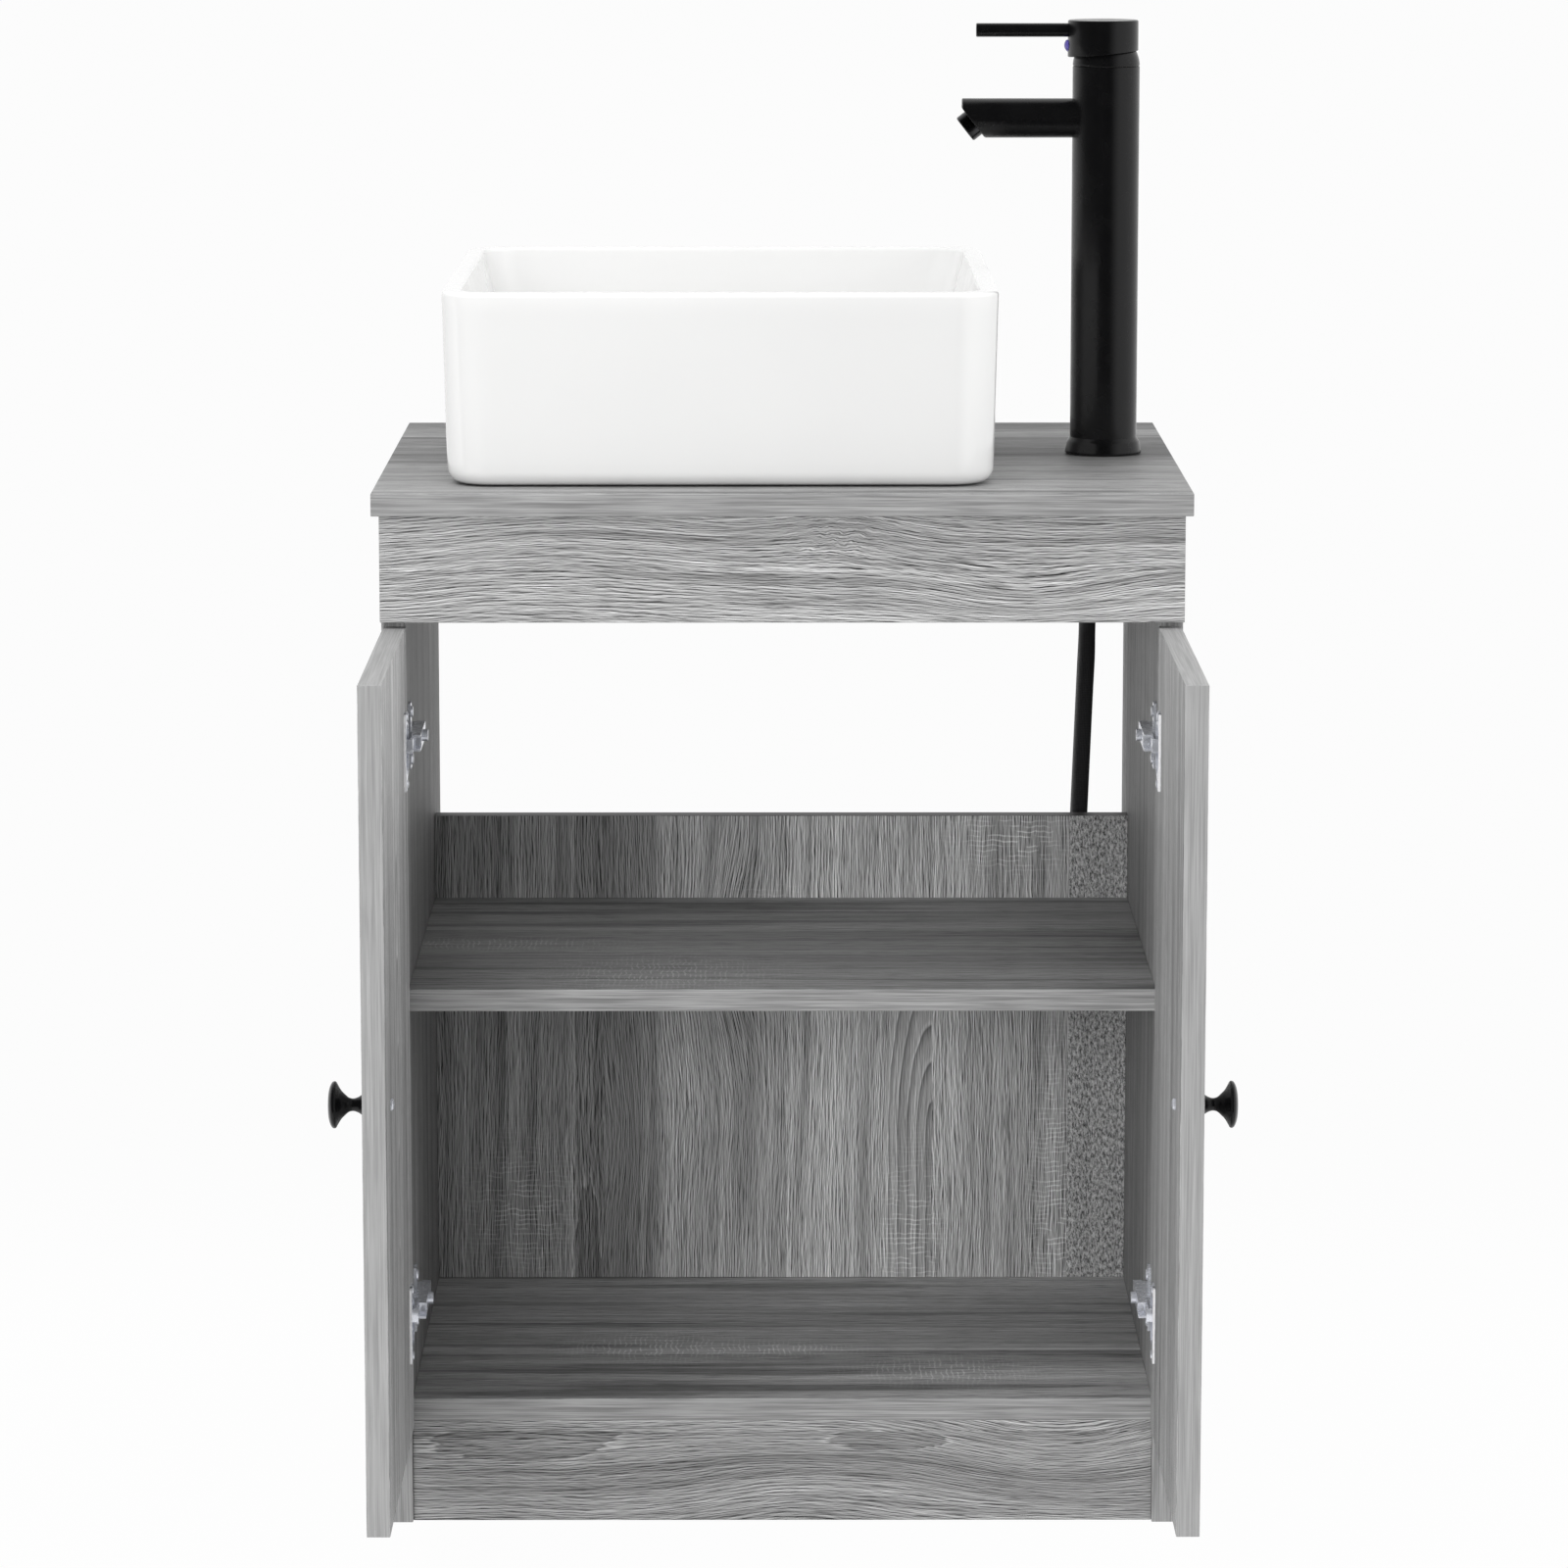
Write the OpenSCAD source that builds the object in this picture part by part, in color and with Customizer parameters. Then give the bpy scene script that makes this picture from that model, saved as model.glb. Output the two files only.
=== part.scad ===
// Two-door vanity unit with a vessel basin and a tall single-lever tap.
// Frame: +X to the right, +Y towards the wall, +Z up. The origin is on the floor, mid width,
// under the middle of the plinth board. The doors stand open at right angles.

/* [Cabinet] */
// Width over the two side panels
carcass_width = 530; // [480:5:800]
// Height of the countertop's upper face
cabinet_height = 703; // [660:1:900]
// Depth of the side panels, front to rear
side_depth = 420; // [380:5:520]
// Thickness of every board
board = 15; // [15:0.5:19]
// How far the countertop passes the side panels and the apron
overhang = 5; // [0:1:20]
// Height of the apron board under the countertop
apron_height = 71; // [60:1:110]
// Height of the plinth board, which is the height of the floor panel's underside
plinth_height = 70; // [50:1:120]
// How far the plinth, floor and shelf stand behind the sides' front edges
front_setback = 5; // [0:0.5:12]
// Height of the middle shelf's upper face
shelf_top = 367; // [300:1:400]
// Height of the back panel's upper edge
back_panel_top = 427; // [410:1:520]
// Depth of the service gap between the back panel and the wall
service_gap = 65; // [60:1:90]
// Height of the rear rail under the countertop
rail_height = 70; // [50:1:90]

/* [Wood joints] */
// Diameter of the wooden dowels
dowel_d = 8; // [6:1:8]
// Length of the wooden dowels
dowel_length = 30; // [24:1:32]
// How deep a dowel goes into the face of a board
dowel_face_depth = 10; // [8:0.5:11]
// Radial clearance round a dowel
dowel_clearance = 0.05; // [0.02:0.01:0.1]
// Diameter of the cam locks
cam_d = 15; // [12:0.5:18]
// Depth of the cam locks
cam_depth = 11.5; // [10:0.5:12.5]
// Distance from a side panel's inner face to a cam's centre
cam_distance = 24; // [20:1:34]
// Shank diameter of the cam bolts
cam_bolt_d = 6; // [5:0.5:7]
// Diameter of the screw holes in the rear rail
wall_hole_d = 5.5; // [4:0.5:8]
// Distance between the screw holes in the rear rail
wall_hole_spacing = 360; // [240:10:380]

/* [Doors] */
// Thickness of the doors
door_thickness = 15; // [15:0.5:16]
// How far a door's outer edge stands in from the side panel's outer face
door_inset = 1.5; // [0.5:0.5:2]
// Gap between the two closed doors
door_mid_gap = 3; // [2:0.5:5]
// Gap between the doors and the apron
door_top_gap = 4; // [2:0.5:8]
// How far the doors hang below the floor panel
door_drop = 2; // [0:0.5:6]
// Gap between the sides' front edges and the doors
door_gap = 3.3; // [3.3:0.1:4.5]

/* [Knobs] */
// Diameter of a knob's head
knob_d = 30; // [24:1:40]
// How far a knob stands out from its door
knob_projection = 24.5; // [22:0.5:32]
// Diameter of a knob's neck
knob_neck_d = 8; // [7:0.5:10]
// Diameter of a knob's foot
knob_foot_d = 17; // [14:0.5:20]
// Distance of a knob from its door's free edge
knob_edge = 50; // [30:1:70]
// Height of the knobs' centres
knob_z = 337; // [200:1:500]
// Diameter of the knob screws
knob_screw_d = 4; // [3:0.5:5]

/* [Hinges] */
// Diameter of a hinge cup
cup_d = 35; // [35:0.5:36]
// Depth of a hinge cup
cup_depth = 11.5; // [11.5:0.1:12]
// Wood left between a hinge cup and the door's edge
cup_edge = 3; // [2.5:0.1:3.2]
// Wall of a hinge cup
cup_wall = 0.9; // [0.7:0.1:1]
// Distance of the hinges from the door's upper and lower ends
hinge_end = 79; // [60:1:110]
// Height of a hinge cup's screw flange
flange_height = 51; // [48:1:56]
// Thickness of a hinge cup's screw flange
flange_thickness = 1.4; // [1:0.1:1.5]
// Diameter of a hinge pin
hinge_pin_d = 2.5; // [2:0.1:2.6]
// Radial running clearance of a hinge pin
hinge_pin_clearance = 0.05; // [0.02:0.01:0.1]
// Distance of a mounting plate's screws from the side's front edge
plate_setback = 37; // [32:1:45]
// Thickness of a mounting plate under the arm
plate_thickness = 4; // [3.5:0.5:5]

/* [Basin] */
// Width of the basin's rim
basin_width = 369; // [340:1:400]
// Depth of the basin's rim, front to rear
basin_depth = 400; // [340:1:405]
// Height of the basin above the countertop
basin_height = 128; // [110:1:160]
// Gap between the basin's rim and the tap's column
basin_gap = 56.5; // [52:0.5:70]
// Place of the basin's centre behind the origin
basin_y = 198; // [190:1:205]
// Radius of the basin's upright corners
basin_corner = 30; // [20:1:60]
// Radius of the basin's lower edge
basin_foot_round = 10; // [4:1:16]
// How much narrower the basin's foot is on each side
basin_taper = 3; // [0:0.5:12]
// Thickness of the basin's wall at the rim
basin_wall = 13; // [10:0.5:18]
// Thickness of the basin's floor
basin_floor = 16; // [12:0.5:24]
// How much narrower the bowl is above its floor than at the rim, on each side
bowl_taper = 22; // [4:1:30]
// Radius between the bowl's floor and its walls
bowl_round = 30; // [12:1:40]

/* [Basin waste] */
// Diameter of the waste's body in the basin and the countertop
waste_d = 43.4; // [43:0.1:44]
// Outer diameter of the waste's threaded tail
waste_tail_d = 41.9; // [41:0.1:42.5]
// Inner diameter of the waste
waste_bore_d = 35; // [32:0.5:36]
// How far the waste's tail reaches below the countertop's upper face
waste_drop = 80; // [70:1:90]
// Diameter of the waste's flange in the bowl
waste_flange_d = 64; // [60:1:72]
// Diameter of the waste's cap
waste_cap_d = 58; // [50:1:62]
// Clearance round the waste in the basin and the countertop
waste_clearance = 0.8; // [0.5:0.1:2]
// Diameter of the cap's stem
waste_stem_d = 8; // [6:0.5:10]

/* [Tap] */
// Distance of the tap's axis from the right side panel's inner face
tap_side = 27; // [26:1:60]
// Place of the tap's axis behind the origin
tap_y = 208; // [200:1:215]
// Diameter of the tap's column
tap_d = 46; // [44:0.5:50]
// Height of the seam between the column and the dome, above the countertop
seam_height = 267; // [250:1:300]
// Diameter of the base ring at the countertop
base_ring_d = 52.8; // [50:0.1:60]
// Height of the base ring
base_ring_height = 11; // [6:0.5:16]
// Thickness of the gaskets under the tap and the basin
gasket = 0.8; // [0.5:0.1:2]
// Diameter of the spout
spout_d = 27; // [22:0.5:29]
// Height of the spout's axis above the countertop
spout_height = 231.5; // [222:0.5:233]
// Reach of the spout from the tap's axis
spout_reach = 99; // [95:1:140]
// Angle of the spout's outlet below horizontal
outlet_angle = 38; // [30:1:45]
// Diameter of the aerator
aerator_d = 19.6; // [18:0.1:21]
// How far the aerator stands out of the spout
aerator_projection = 7.4; // [5:0.1:10]

/* [Tap handle] */
// Diameter of the handle's head
head_d = 48.4; // [47:0.1:50]
// How far the head's centre stands from the tap's axis towards the lever
head_offset = 2.3; // [2:0.1:3]
// Height of the head's lower edge above the seam, on the lever's side
head_low = 6.3; // [5:0.1:7]
// Height of the head's lower edge above the seam, opposite the lever
head_high = 10.8; // [9.5:0.1:12]
// Height of the head's top above the seam
head_top = 31.5; // [28:0.5:36]
// Gap between the dome and the head's socket
socket_gap = 0.3; // [0.2:0.1:0.5]
// Diameter of the lever
lever_d = 9.4; // [8:0.1:10]
// Distance of the lever's tip from the tap's axis
lever_reach = 89.5; // [60:0.5:120]
// How far the lever's axis lies below the head's top
lever_drop = 6.9; // [6:0.1:8]
// Diameter of the indicator button
indicator_d = 9; // [7:0.5:10]
// Diameter of the cartridge
cartridge_d = 35; // [34:0.5:36]
// Diameter of the spindle that the head turns with
spindle_d = 18; // [17:0.5:19]
// Diameter of the cross pin that the lever stem tilts on
stem_pin_d = 3; // [2.5:0.1:3.5]
// Radial running clearance of the spindle and the cross pin
running = 0.05; // [0.02:0.01:0.1]

/* [Supply] */
// Diameter of the supply hoses
hose_d = 12; // [10:0.5:12.5]
// Diameter of the hole in the countertop under the tap
tap_hole_d = 35; // [34:0.5:36]
// Distance of each hose from the tap's axis
hose_offset = 8; // [7.5:0.5:8]
// Diameter of the mounting stud
stud_d = 6; // [5:0.5:6]
// Distance of the mounting stud from the tap's axis
stud_offset = 12; // [12:0.1:12.5]

/* [Hidden] */

// Smoothness of round shapes, and of the children of a hull
$fn = 64;
hull_fn = 32;
// Overshoot of a cut past a face
cut = 1;

// Places of the boards
front_y = -(front_setback + board / 2);
rear_y = front_y + side_depth;
inner_width = carcass_width - 2 * board;
inner_x = inner_width / 2;
outer_x = carcass_width / 2;
board_front_y = front_y + front_setback;
back_panel_y = rear_y - service_gap - board;
panel_depth = back_panel_y - board_front_y;
sides_top = cabinet_height - board;
floor_top = plinth_height + board;
shelf_z = shelf_top - board;
apron_z = sides_top - apron_height;
rail_z = sides_top - rail_height;

// Places of the doors and their hinge axes, in the left door's own frame and in the cabinet's
door_width = (carcass_width - 2 * door_inset - door_mid_gap) / 2;
door_z = plinth_height - door_drop;
door_height = apron_z - door_top_gap - door_z;
door_x = outer_x - door_inset;
door_y = front_y - door_gap;
pivot = door_thickness / 2;
hinge_zs = [door_z + hinge_end, door_z + door_height - hinge_end];
cup_center = cup_edge + cup_d / 2;
cup_screw_spacing = 45;
plate_screw_spacing = 32;

// Places and heights of the tap's parts, and the basin beside it
tap_x = inner_x - tap_side;
basin_x = tap_x - tap_d / 2 - basin_gap - basin_width / 2;
tap_z = cabinet_height;
seam_z = tap_z + seam_height;
dome_r = tap_d / 2;
socket_r = dome_r + socket_gap;
lever_height = head_top - lever_drop;
// Distance of the lever's root from the tap's axis, clear of the socket
lever_root = sqrt(max(0, socket_r * socket_r - pow(lever_height - lever_d / 2, 2))) + 2.9;
dome_wall = 2;
dome_opening_r = 19;
cartridge_bore_d = cartridge_d + 0.2;
cartridge_length = 27;
cartridge_neck = 3;
cartridge_wall = 3;
cartridge_nut_height = 5;
chamber_r = 11.5;
shank_bore_r = 16;
shank_bore_depth = 30;
port_depth = 10;
port_d = 10;
stud_in_tap = 8;
sleeve_d = 12.6;
// Height of the sleeves' lower ends under the countertop, and of their upper ends in the tap
sleeve_below = 4;
sleeve_above = 12;
grub_angle = 15;
grub_z = 13.5;
stem_size = 8;
boss_r = 8;
boss_z = 10;
stem_length = 21;

// Basin waste
waste_hole_r = waste_d / 2 + waste_clearance;
bowl_z = cabinet_height + gasket + basin_floor;
waste_flange_thickness = 2.5;
stem_clearance = 0.05;

// Supply hoses: hand-laid points from the sleeves under the tap to the nuts behind the back panel
hot_route = [
    [223, 200, 684], [223, 200, 660], [223, 200, 645], [223, 202, 630], [223, 208, 614],
    [223, 219, 602], [223, 234, 596], [223, 255, 594], [223, 280, 594], [222, 305, 594],
    [222, 326, 591], [221, 343, 583], [221, 354, 570], [221, 360, 554], [221, 362, 538],
    [220, 362, 515], [219, 362, 490], [218, 362, 464], [217, 362, 438], [216, 362, 410],
    [215, 362, 380], [214, 362, 350], [213, 362, 325], [213, 362, 306],
];
cold_route = [
    [223, 216, 684], [223, 216, 670], [223, 216, 660], [223, 218, 645], [223, 224, 630],
    [223, 235, 618], [223, 250, 612], [223, 270, 610], [223, 295, 610], [223, 320, 610],
    [223, 342, 607], [222, 360, 599], [222, 373, 586], [222, 380, 570], [222, 382, 552],
    [221, 382, 528], [220, 382, 502], [219, 382, 476], [218, 382, 450], [217, 382, 424],
    [216, 382, 396], [215, 382, 366], [214, 382, 336], [213, 382, 308], [213, 382, 284],
];
hose_nut_d = 21;
hose_nut_length = 15;
hose_nut_bore_r = 7.5;
hose_nut_bore_depth = 10;

wood = [0.62, 0.61, 0.60];
nickel = [0.78, 0.79, 0.80];
zinc = [0.66, 0.67, 0.68];
black = [0.09, 0.09, 0.09];
white = [0.95, 0.95, 0.94];
rubber = [0.12, 0.12, 0.12];
beech = [0.80, 0.68, 0.50];

// Helpers for mirrored pieces, round bars and rounded rectangles

module both_sides() {
    children();
    mirror([1, 0, 0]) children();
}

// A bar along Y, from y = 0 to y = length
module bar_y(r, length) {
    rotate([-90, 0, 0]) cylinder(r = r, h = length);
}

// A bar along X, from x = 0 to x = length
module bar_x(r, length) {
    rotate([0, 90, 0]) cylinder(r = r, h = length);
}

// Puts a shape drawn in a closed door's frame on the open left door:
// x runs from the hinge edge to the free edge, y from the outer face to the inner face
module on_left_door() {
    translate([-door_x, door_y, 0]) rotate([0, 0, -90]) children();
}

module on_right_door() {
    mirror([1, 0, 0]) on_left_door() children();
}

// Corner points of a rectangle with round corners, centred on the origin
function round_rect(w, d, r, n = 8) = [
    for (q = [0 : 3]) for (i = [0 : n])
        let (a = 90 * q + 90 * i / n)
        [(q == 0 || q == 3 ? 1 : -1) * (w / 2 - r) + r * cos(a),
         (q < 2 ? 1 : -1) * (d / 2 - r) + r * sin(a)]
];

// A solid through rounded slices: each slice is [height, inset, corner radius]
module sliced(w, d, slices) {
    hull() for (s = slices)
        translate([0, 0, s[0]]) linear_extrude(0.01)
            polygon(round_rect(w - 2 * s[1], d - 2 * s[1], s[2]));
}

// Dowels. Along Y they are placed from the sides' front edges, along Z and X from the origin

side_dowel_ys = [60, 290];
back_dowel_end = 55;
back_dowel_zs = [floor_top + back_dowel_end, back_panel_top - back_dowel_end];
dowel_end = 15;
rail_dowel_zs = [rail_z + dowel_end, sides_top - dowel_end];
apron_dowel_zs = [apron_z + dowel_end, sides_top - dowel_end];
plinth_dowel_zs = [dowel_end, plinth_height - dowel_end];
// How far a blind hole passes the end of its dowel or screw
hole_end = 0.3;
top_dowel_end = 80;
top_dowel_ys = [top_dowel_end, side_depth - top_dowel_end];
plinth_dowel_xs = [-120, 120];

// One dowel along X through a side panel's inner face, on the right
module dowel_into_side(y, z, r, extra) {
    translate([inner_x + dowel_face_depth + extra, y, z])
        mirror([1, 0, 0]) bar_x(r, dowel_length + 2 * extra);
}

module all_dowels(r, extra = 0) {
    both_sides() {
        for (y = side_dowel_ys) {
            dowel_into_side(front_y + y, plinth_height + board / 2, r, extra);
            dowel_into_side(front_y + y, shelf_z + board / 2, r, extra);
        }
        for (z = back_dowel_zs) dowel_into_side(back_panel_y + board / 2, z, r, extra);
        for (z = rail_dowel_zs) dowel_into_side(rear_y - board / 2, z, r, extra);
        for (z = plinth_dowel_zs) dowel_into_side(board_front_y + board / 2, z, r, extra);
        for (z = apron_dowel_zs)
            translate([outer_x - board / 2, front_y - dowel_face_depth - extra, z])
                bar_y(r, dowel_length + 2 * extra);
        for (y = top_dowel_ys)
            translate([outer_x - board / 2, front_y + y, sides_top + dowel_face_depth - dowel_length - extra])
                cylinder(r = r, h = dowel_length + 2 * extra);
    }
    for (x = plinth_dowel_xs) {
        translate([x, board_front_y + board / 2, plinth_height + dowel_face_depth - dowel_length - extra])
            cylinder(r = r, h = dowel_length + 2 * extra);
        translate([x, front_y - board / 2, sides_top + dowel_face_depth - dowel_length - extra])
            cylinder(r = r, h = dowel_length + 2 * extra);
    }
}

module dowel_holes() {
    all_dowels(dowel_d / 2 + dowel_clearance, hole_end);
}

// Cam locks: places on the right side, as [y, underside z of the board they sit in]
cam_ys = [110, 240];
cam_places = [for (y = cam_ys) for (z = [plinth_height, shelf_z]) [front_y + y, z]];
cam_bolt_face_depth = 11;
cam_clearance = 0.1;

module at_cams() {
    both_sides()
        for (p = cam_places) translate([inner_x, p[0], p[1]]) children();
}

module cam_cuts() {
    at_cams() {
        translate([-cam_distance, 0, -cut])
            cylinder(d = cam_d + 2 * cam_clearance, h = cam_depth + cam_clearance + cut);
        translate([cam_bolt_face_depth + hole_end, 0, board / 2])
            mirror([1, 0, 0]) bar_x(cam_bolt_d / 2 + cam_clearance, cam_distance + cam_bolt_face_depth);
    }
}

module wood_board(size) {
    color(wood) cube(size);
}

// Boards

module countertop() {
    difference() {
        translate([-outer_x - overhang, front_y - board - overhang, sides_top])
            wood_board([carcass_width + 2 * overhang, side_depth + board + overhang, board]);
        dowel_holes();
        translate([tap_x, tap_y, sides_top - cut]) cylinder(d = tap_hole_d, h = board + 2 * cut);
        translate([basin_x, basin_y, sides_top - cut]) cylinder(r = waste_hole_r, h = board + 2 * cut);
    }
}

module side_panel() {
    difference() {
        translate([inner_x, front_y, 0]) wood_board([board, side_depth, sides_top]);
        dowel_holes();
        cam_cuts();
        at_plates() plate_pilot_holes();
    }
}

module side_left() {
    mirror([1, 0, 0]) side_panel();
}

module side_right() {
    side_panel();
}

module floor_panel() {
    difference() {
        translate([-inner_x, board_front_y, plinth_height])
            wood_board([inner_width, panel_depth + board, board]);
        dowel_holes();
        cam_cuts();
    }
}

module plinth_board() {
    difference() {
        translate([-inner_x, board_front_y, 0]) wood_board([inner_width, board, plinth_height]);
        dowel_holes();
    }
}

module apron_board() {
    difference() {
        translate([-outer_x, front_y - board, apron_z]) wood_board([carcass_width, board, apron_height]);
        dowel_holes();
    }
}

module middle_shelf() {
    difference() {
        translate([-inner_x, board_front_y, shelf_z]) wood_board([inner_width, panel_depth, board]);
        dowel_holes();
        cam_cuts();
    }
}

module back_panel() {
    difference() {
        translate([-inner_x, back_panel_y, floor_top])
            wood_board([inner_width, board, back_panel_top - floor_top]);
        dowel_holes();
    }
}

module rear_rail() {
    difference() {
        translate([-inner_x, rear_y - board, rail_z]) wood_board([inner_width, board, rail_height]);
        dowel_holes();
        for (s = [-1, 1])
            translate([s * wall_hole_spacing / 2, rear_y - board - cut, rail_z + rail_height / 2])
                bar_y(wall_hole_d / 2, board + 2 * cut);
    }
}

// Fasteners in the boards

module dowels() {
    color(beech) all_dowels(dowel_d / 2);
}

module cam_locks() {
    color(zinc) at_cams() translate([-cam_distance, 0, 0]) difference() {
        cylinder(d = cam_d, h = cam_depth);
        translate([0, 0, board / 2]) bar_x(cam_bolt_d / 2 + cam_clearance, cam_d);
        translate([0, 0, board / 2]) cylinder(d = cam_bolt_d + 3, h = cam_depth);
        translate([-cam_d, -0.6, -cut]) cube([2 * cam_d, 1.2, cut + 1.5]);
    }
}

module cam_bolts() {
    color(zinc) at_cams() translate([cam_bolt_face_depth, 0, board / 2])
        mirror([1, 0, 0]) bar_x(cam_bolt_d / 2, cam_distance + cam_bolt_face_depth - 0.5);
}

// Doors

module door() {
    difference() {
        translate([0, 0, door_z]) color(wood) cube([door_width, door_thickness, door_height]);
        translate([door_width - knob_edge, -cut, knob_z])
            bar_y(knob_screw_d / 2 + 0.2, door_thickness + 2 * cut);
        for (z = hinge_zs) translate([cup_center, door_thickness, z]) {
            translate([0, -cup_depth - 0.1, 0]) bar_y(cup_d / 2 + 0.05, cup_depth + cut);
            at_cup_screws() translate([0, -cup_screw_length - hole_end, 0])
                bar_y(cup_screw_d / 2 + 0.05, cup_screw_length + cut);
        }
    }
}

module door_left() {
    on_left_door() door();
}

module door_right() {
    on_right_door() door();
}

// A knob is turned: its foot sweeps into the neck and the neck into a wide shallow head
knob_neck_z = 0.35;
knob_rim_z = 0.81;
knob_thread = 9;

// A quarter wave from 1 at t = 0 to 0 at t = 1
function sweep(t) = 1 - sin(90 * t);

module knob() {
    neck_r = knob_neck_d / 2;
    head_r = knob_d / 2;
    foot_r = knob_foot_d / 2;
    neck_z = knob_neck_z * knob_projection;
    rim_z = knob_rim_z * knob_projection;
    dome = knob_projection - rim_z;
    steps = [0 : 0.1 : 1];
    color(black) translate([door_width - knob_edge, 0, knob_z]) rotate([90, 0, 0]) difference() {
        rotate_extrude() polygon(concat(
            [[0, 0], [foot_r, 0]],
            [for (t = steps) [neck_r + (foot_r - neck_r) * sweep(t), neck_z * (0.1 + 0.9 * t)]],
            [for (t = [0.1 : 0.1 : 1])
                [head_r - (head_r - neck_r) * cos(90 * t), neck_z + (rim_z - neck_z) * sin(90 * t * 0.98)]],
            [for (t = [0.1 : 0.1 : 1]) [head_r * cos(90 * t), rim_z + dome * sin(90 * t)]]
        ));
        translate([0, 0, -cut]) cylinder(r = knob_screw_d / 2 + 0.03, h = knob_thread + cut);
    }
}

module knob_left() {
    on_left_door() knob();
}

module knob_right() {
    on_right_door() knob();
}

module knob_screw() {
    color(nickel) translate([door_width - knob_edge, door_thickness, knob_z]) {
        translate([0, -door_thickness - knob_thread + 1, 0])
            bar_y(knob_screw_d / 2, door_thickness + knob_thread - 1);
        difference() {
            rotate([-90, 0, 0]) rotate_extrude()
                polygon([[0, 0], [3.8, 0], [3.8, 1], [3, 1.9], [1.5, 2.3], [0, 2.4]]);
            for (a = [0, 90]) rotate([0, a, 0]) translate([-2, 1.2, -0.4]) cube([4, 2, 0.8]);
        }
    }
}

module knob_screw_left() {
    on_left_door() knob_screw();
}

module knob_screw_right() {
    on_right_door() knob_screw();
}

// Hinges. Each door turns on pins inside its hinge cups: the arm's nose reaches into the cup

cup_screw_d = 3.5;
cup_screw_length = 10;
cup_screw_set = 6;
ear_inner = 5;
ear_outer = 7;
knuckle_r = 2.4;
nose_half = 0.8;
arm_offset = board - door_inset - pivot + plate_thickness;
arm_thickness = 6;
arm_half_height = 5.5;
arm_end = 62;
plate_wing = 2;
plate_front = 20;
plate_length = 44;
wing_half = 6;
plate_screw_d = 5;
plate_screw_length = 11;
adjusting_r = 1.8;

// The two flange screws, above and below the cup
module at_cup_screws() {
    for (s = [-1, 1]) translate([cup_screw_set, 0, s * cup_screw_spacing / 2]) children();
}

module hinge_cup() {
    inner_r = cup_d / 2 - cup_wall;
    pin_x = pivot - cup_center;
    pin_y = pivot - door_thickness;
    ear_r = 2.8;
    difference() {
        union() {
            difference() {
                translate([0, -cup_depth, 0]) bar_y(cup_d / 2, cup_depth);
                translate([0, -cup_depth + cup_wall, 0]) bar_y(inner_r, cup_depth + cut);
            }
            intersection() {
                translate([0, -cup_depth, 0]) bar_y(cup_d / 2, cup_depth);
                for (s = [-1, 1])
                    translate([pin_x - ear_r, -cup_depth, s > 0 ? ear_inner : -ear_outer])
                        cube([2 * ear_r, cup_depth + pin_y + ear_r, ear_outer - ear_inner]);
            }
            difference() {
                union() {
                    bar_y(cup_d / 2 + 1, flange_thickness);
                    translate([-1, 0, -flange_height / 2]) cube([14, flange_thickness, flange_height]);
                }
                translate([0, -cut, 0]) bar_y(inner_r, 2 * cut + flange_thickness);
                at_cup_screws() translate([0, -cut, 0])
                    bar_y(cup_screw_d / 2 + 0.1, 2 * cut + flange_thickness);
            }
        }
        translate([pin_x, pin_y, -ear_outer - cut])
            cylinder(d = hinge_pin_d + 0.04, h = 2 * (ear_outer + cut));
    }
}

module hinge_cups() {
    color(nickel) for (z = hinge_zs) translate([cup_center, door_thickness, z]) hinge_cup();
}

module hinge_cups_left() {
    on_left_door() hinge_cups();
}

module hinge_cups_right() {
    on_right_door() hinge_cups();
}

module cup_screws() {
    color(nickel) for (z = hinge_zs) translate([cup_center, door_thickness, z]) at_cup_screws() {
        translate([0, -cup_screw_length, 0]) bar_y(cup_screw_d / 2, cup_screw_length + flange_thickness);
        translate([0, flange_thickness, 0]) rotate([-90, 0, 0]) rotate_extrude()
            polygon([[0, 0], [3.2, 0], [2.6, 0.9], [0, 1.1]]);
    }
}

module cup_screws_left() {
    on_left_door() cup_screws();
}

module cup_screws_right() {
    on_right_door() cup_screws();
}

module hinge_pins() {
    color(nickel) for (z = hinge_zs) translate([pivot, pivot, z - ear_outer])
        cylinder(d = hinge_pin_d, h = 2 * ear_outer);
}

module hinge_pins_left() {
    on_left_door() hinge_pins();
}

module hinge_pins_right() {
    on_right_door() hinge_pins();
}

// The arm, drawn round the left hinge axis: knuckle, nose, riser and a channel along the side
module hinge_arm() {
    front_gap = door_gap + pivot;
    tip = arm_offset + 2 * nose_half;
    start = front_gap + 2;
    difference() {
        union() {
            translate([0, 0, -ear_inner + 0.5]) cylinder(r = knuckle_r, h = 2 * ear_inner - 1);
            translate([0, -nose_half, -ear_inner + 0.5]) cube([tip, 2 * nose_half, 2 * ear_inner - 1]);
            translate([arm_offset, -nose_half, -ear_inner + 0.5])
                cube([tip - arm_offset, start + nose_half + cut, 2 * ear_inner - 1]);
            translate([arm_offset, start, -arm_half_height])
                cube([arm_thickness, arm_end, 2 * arm_half_height]);
        }
        translate([0, 0, -ear_inner])
            cylinder(r = hinge_pin_d / 2 + hinge_pin_clearance, h = 2 * ear_inner);
        translate([tip, start - cut, -arm_half_height + 1.6])
            cube([arm_thickness, 14, 2 * arm_half_height - 3.2]);
        translate([arm_offset - cut, front_gap + plate_setback, 0])
            bar_x(adjusting_r + 0.3, arm_thickness + 2 * cut);
    }
}

module left_arms() {
    color(nickel) for (z = hinge_zs)
        translate([-door_x + pivot, door_y - pivot, z]) hinge_arm();
}

module hinge_arms_left() {
    left_arms();
}

module hinge_arms_right() {
    mirror([1, 0, 0]) left_arms();
}

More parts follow.
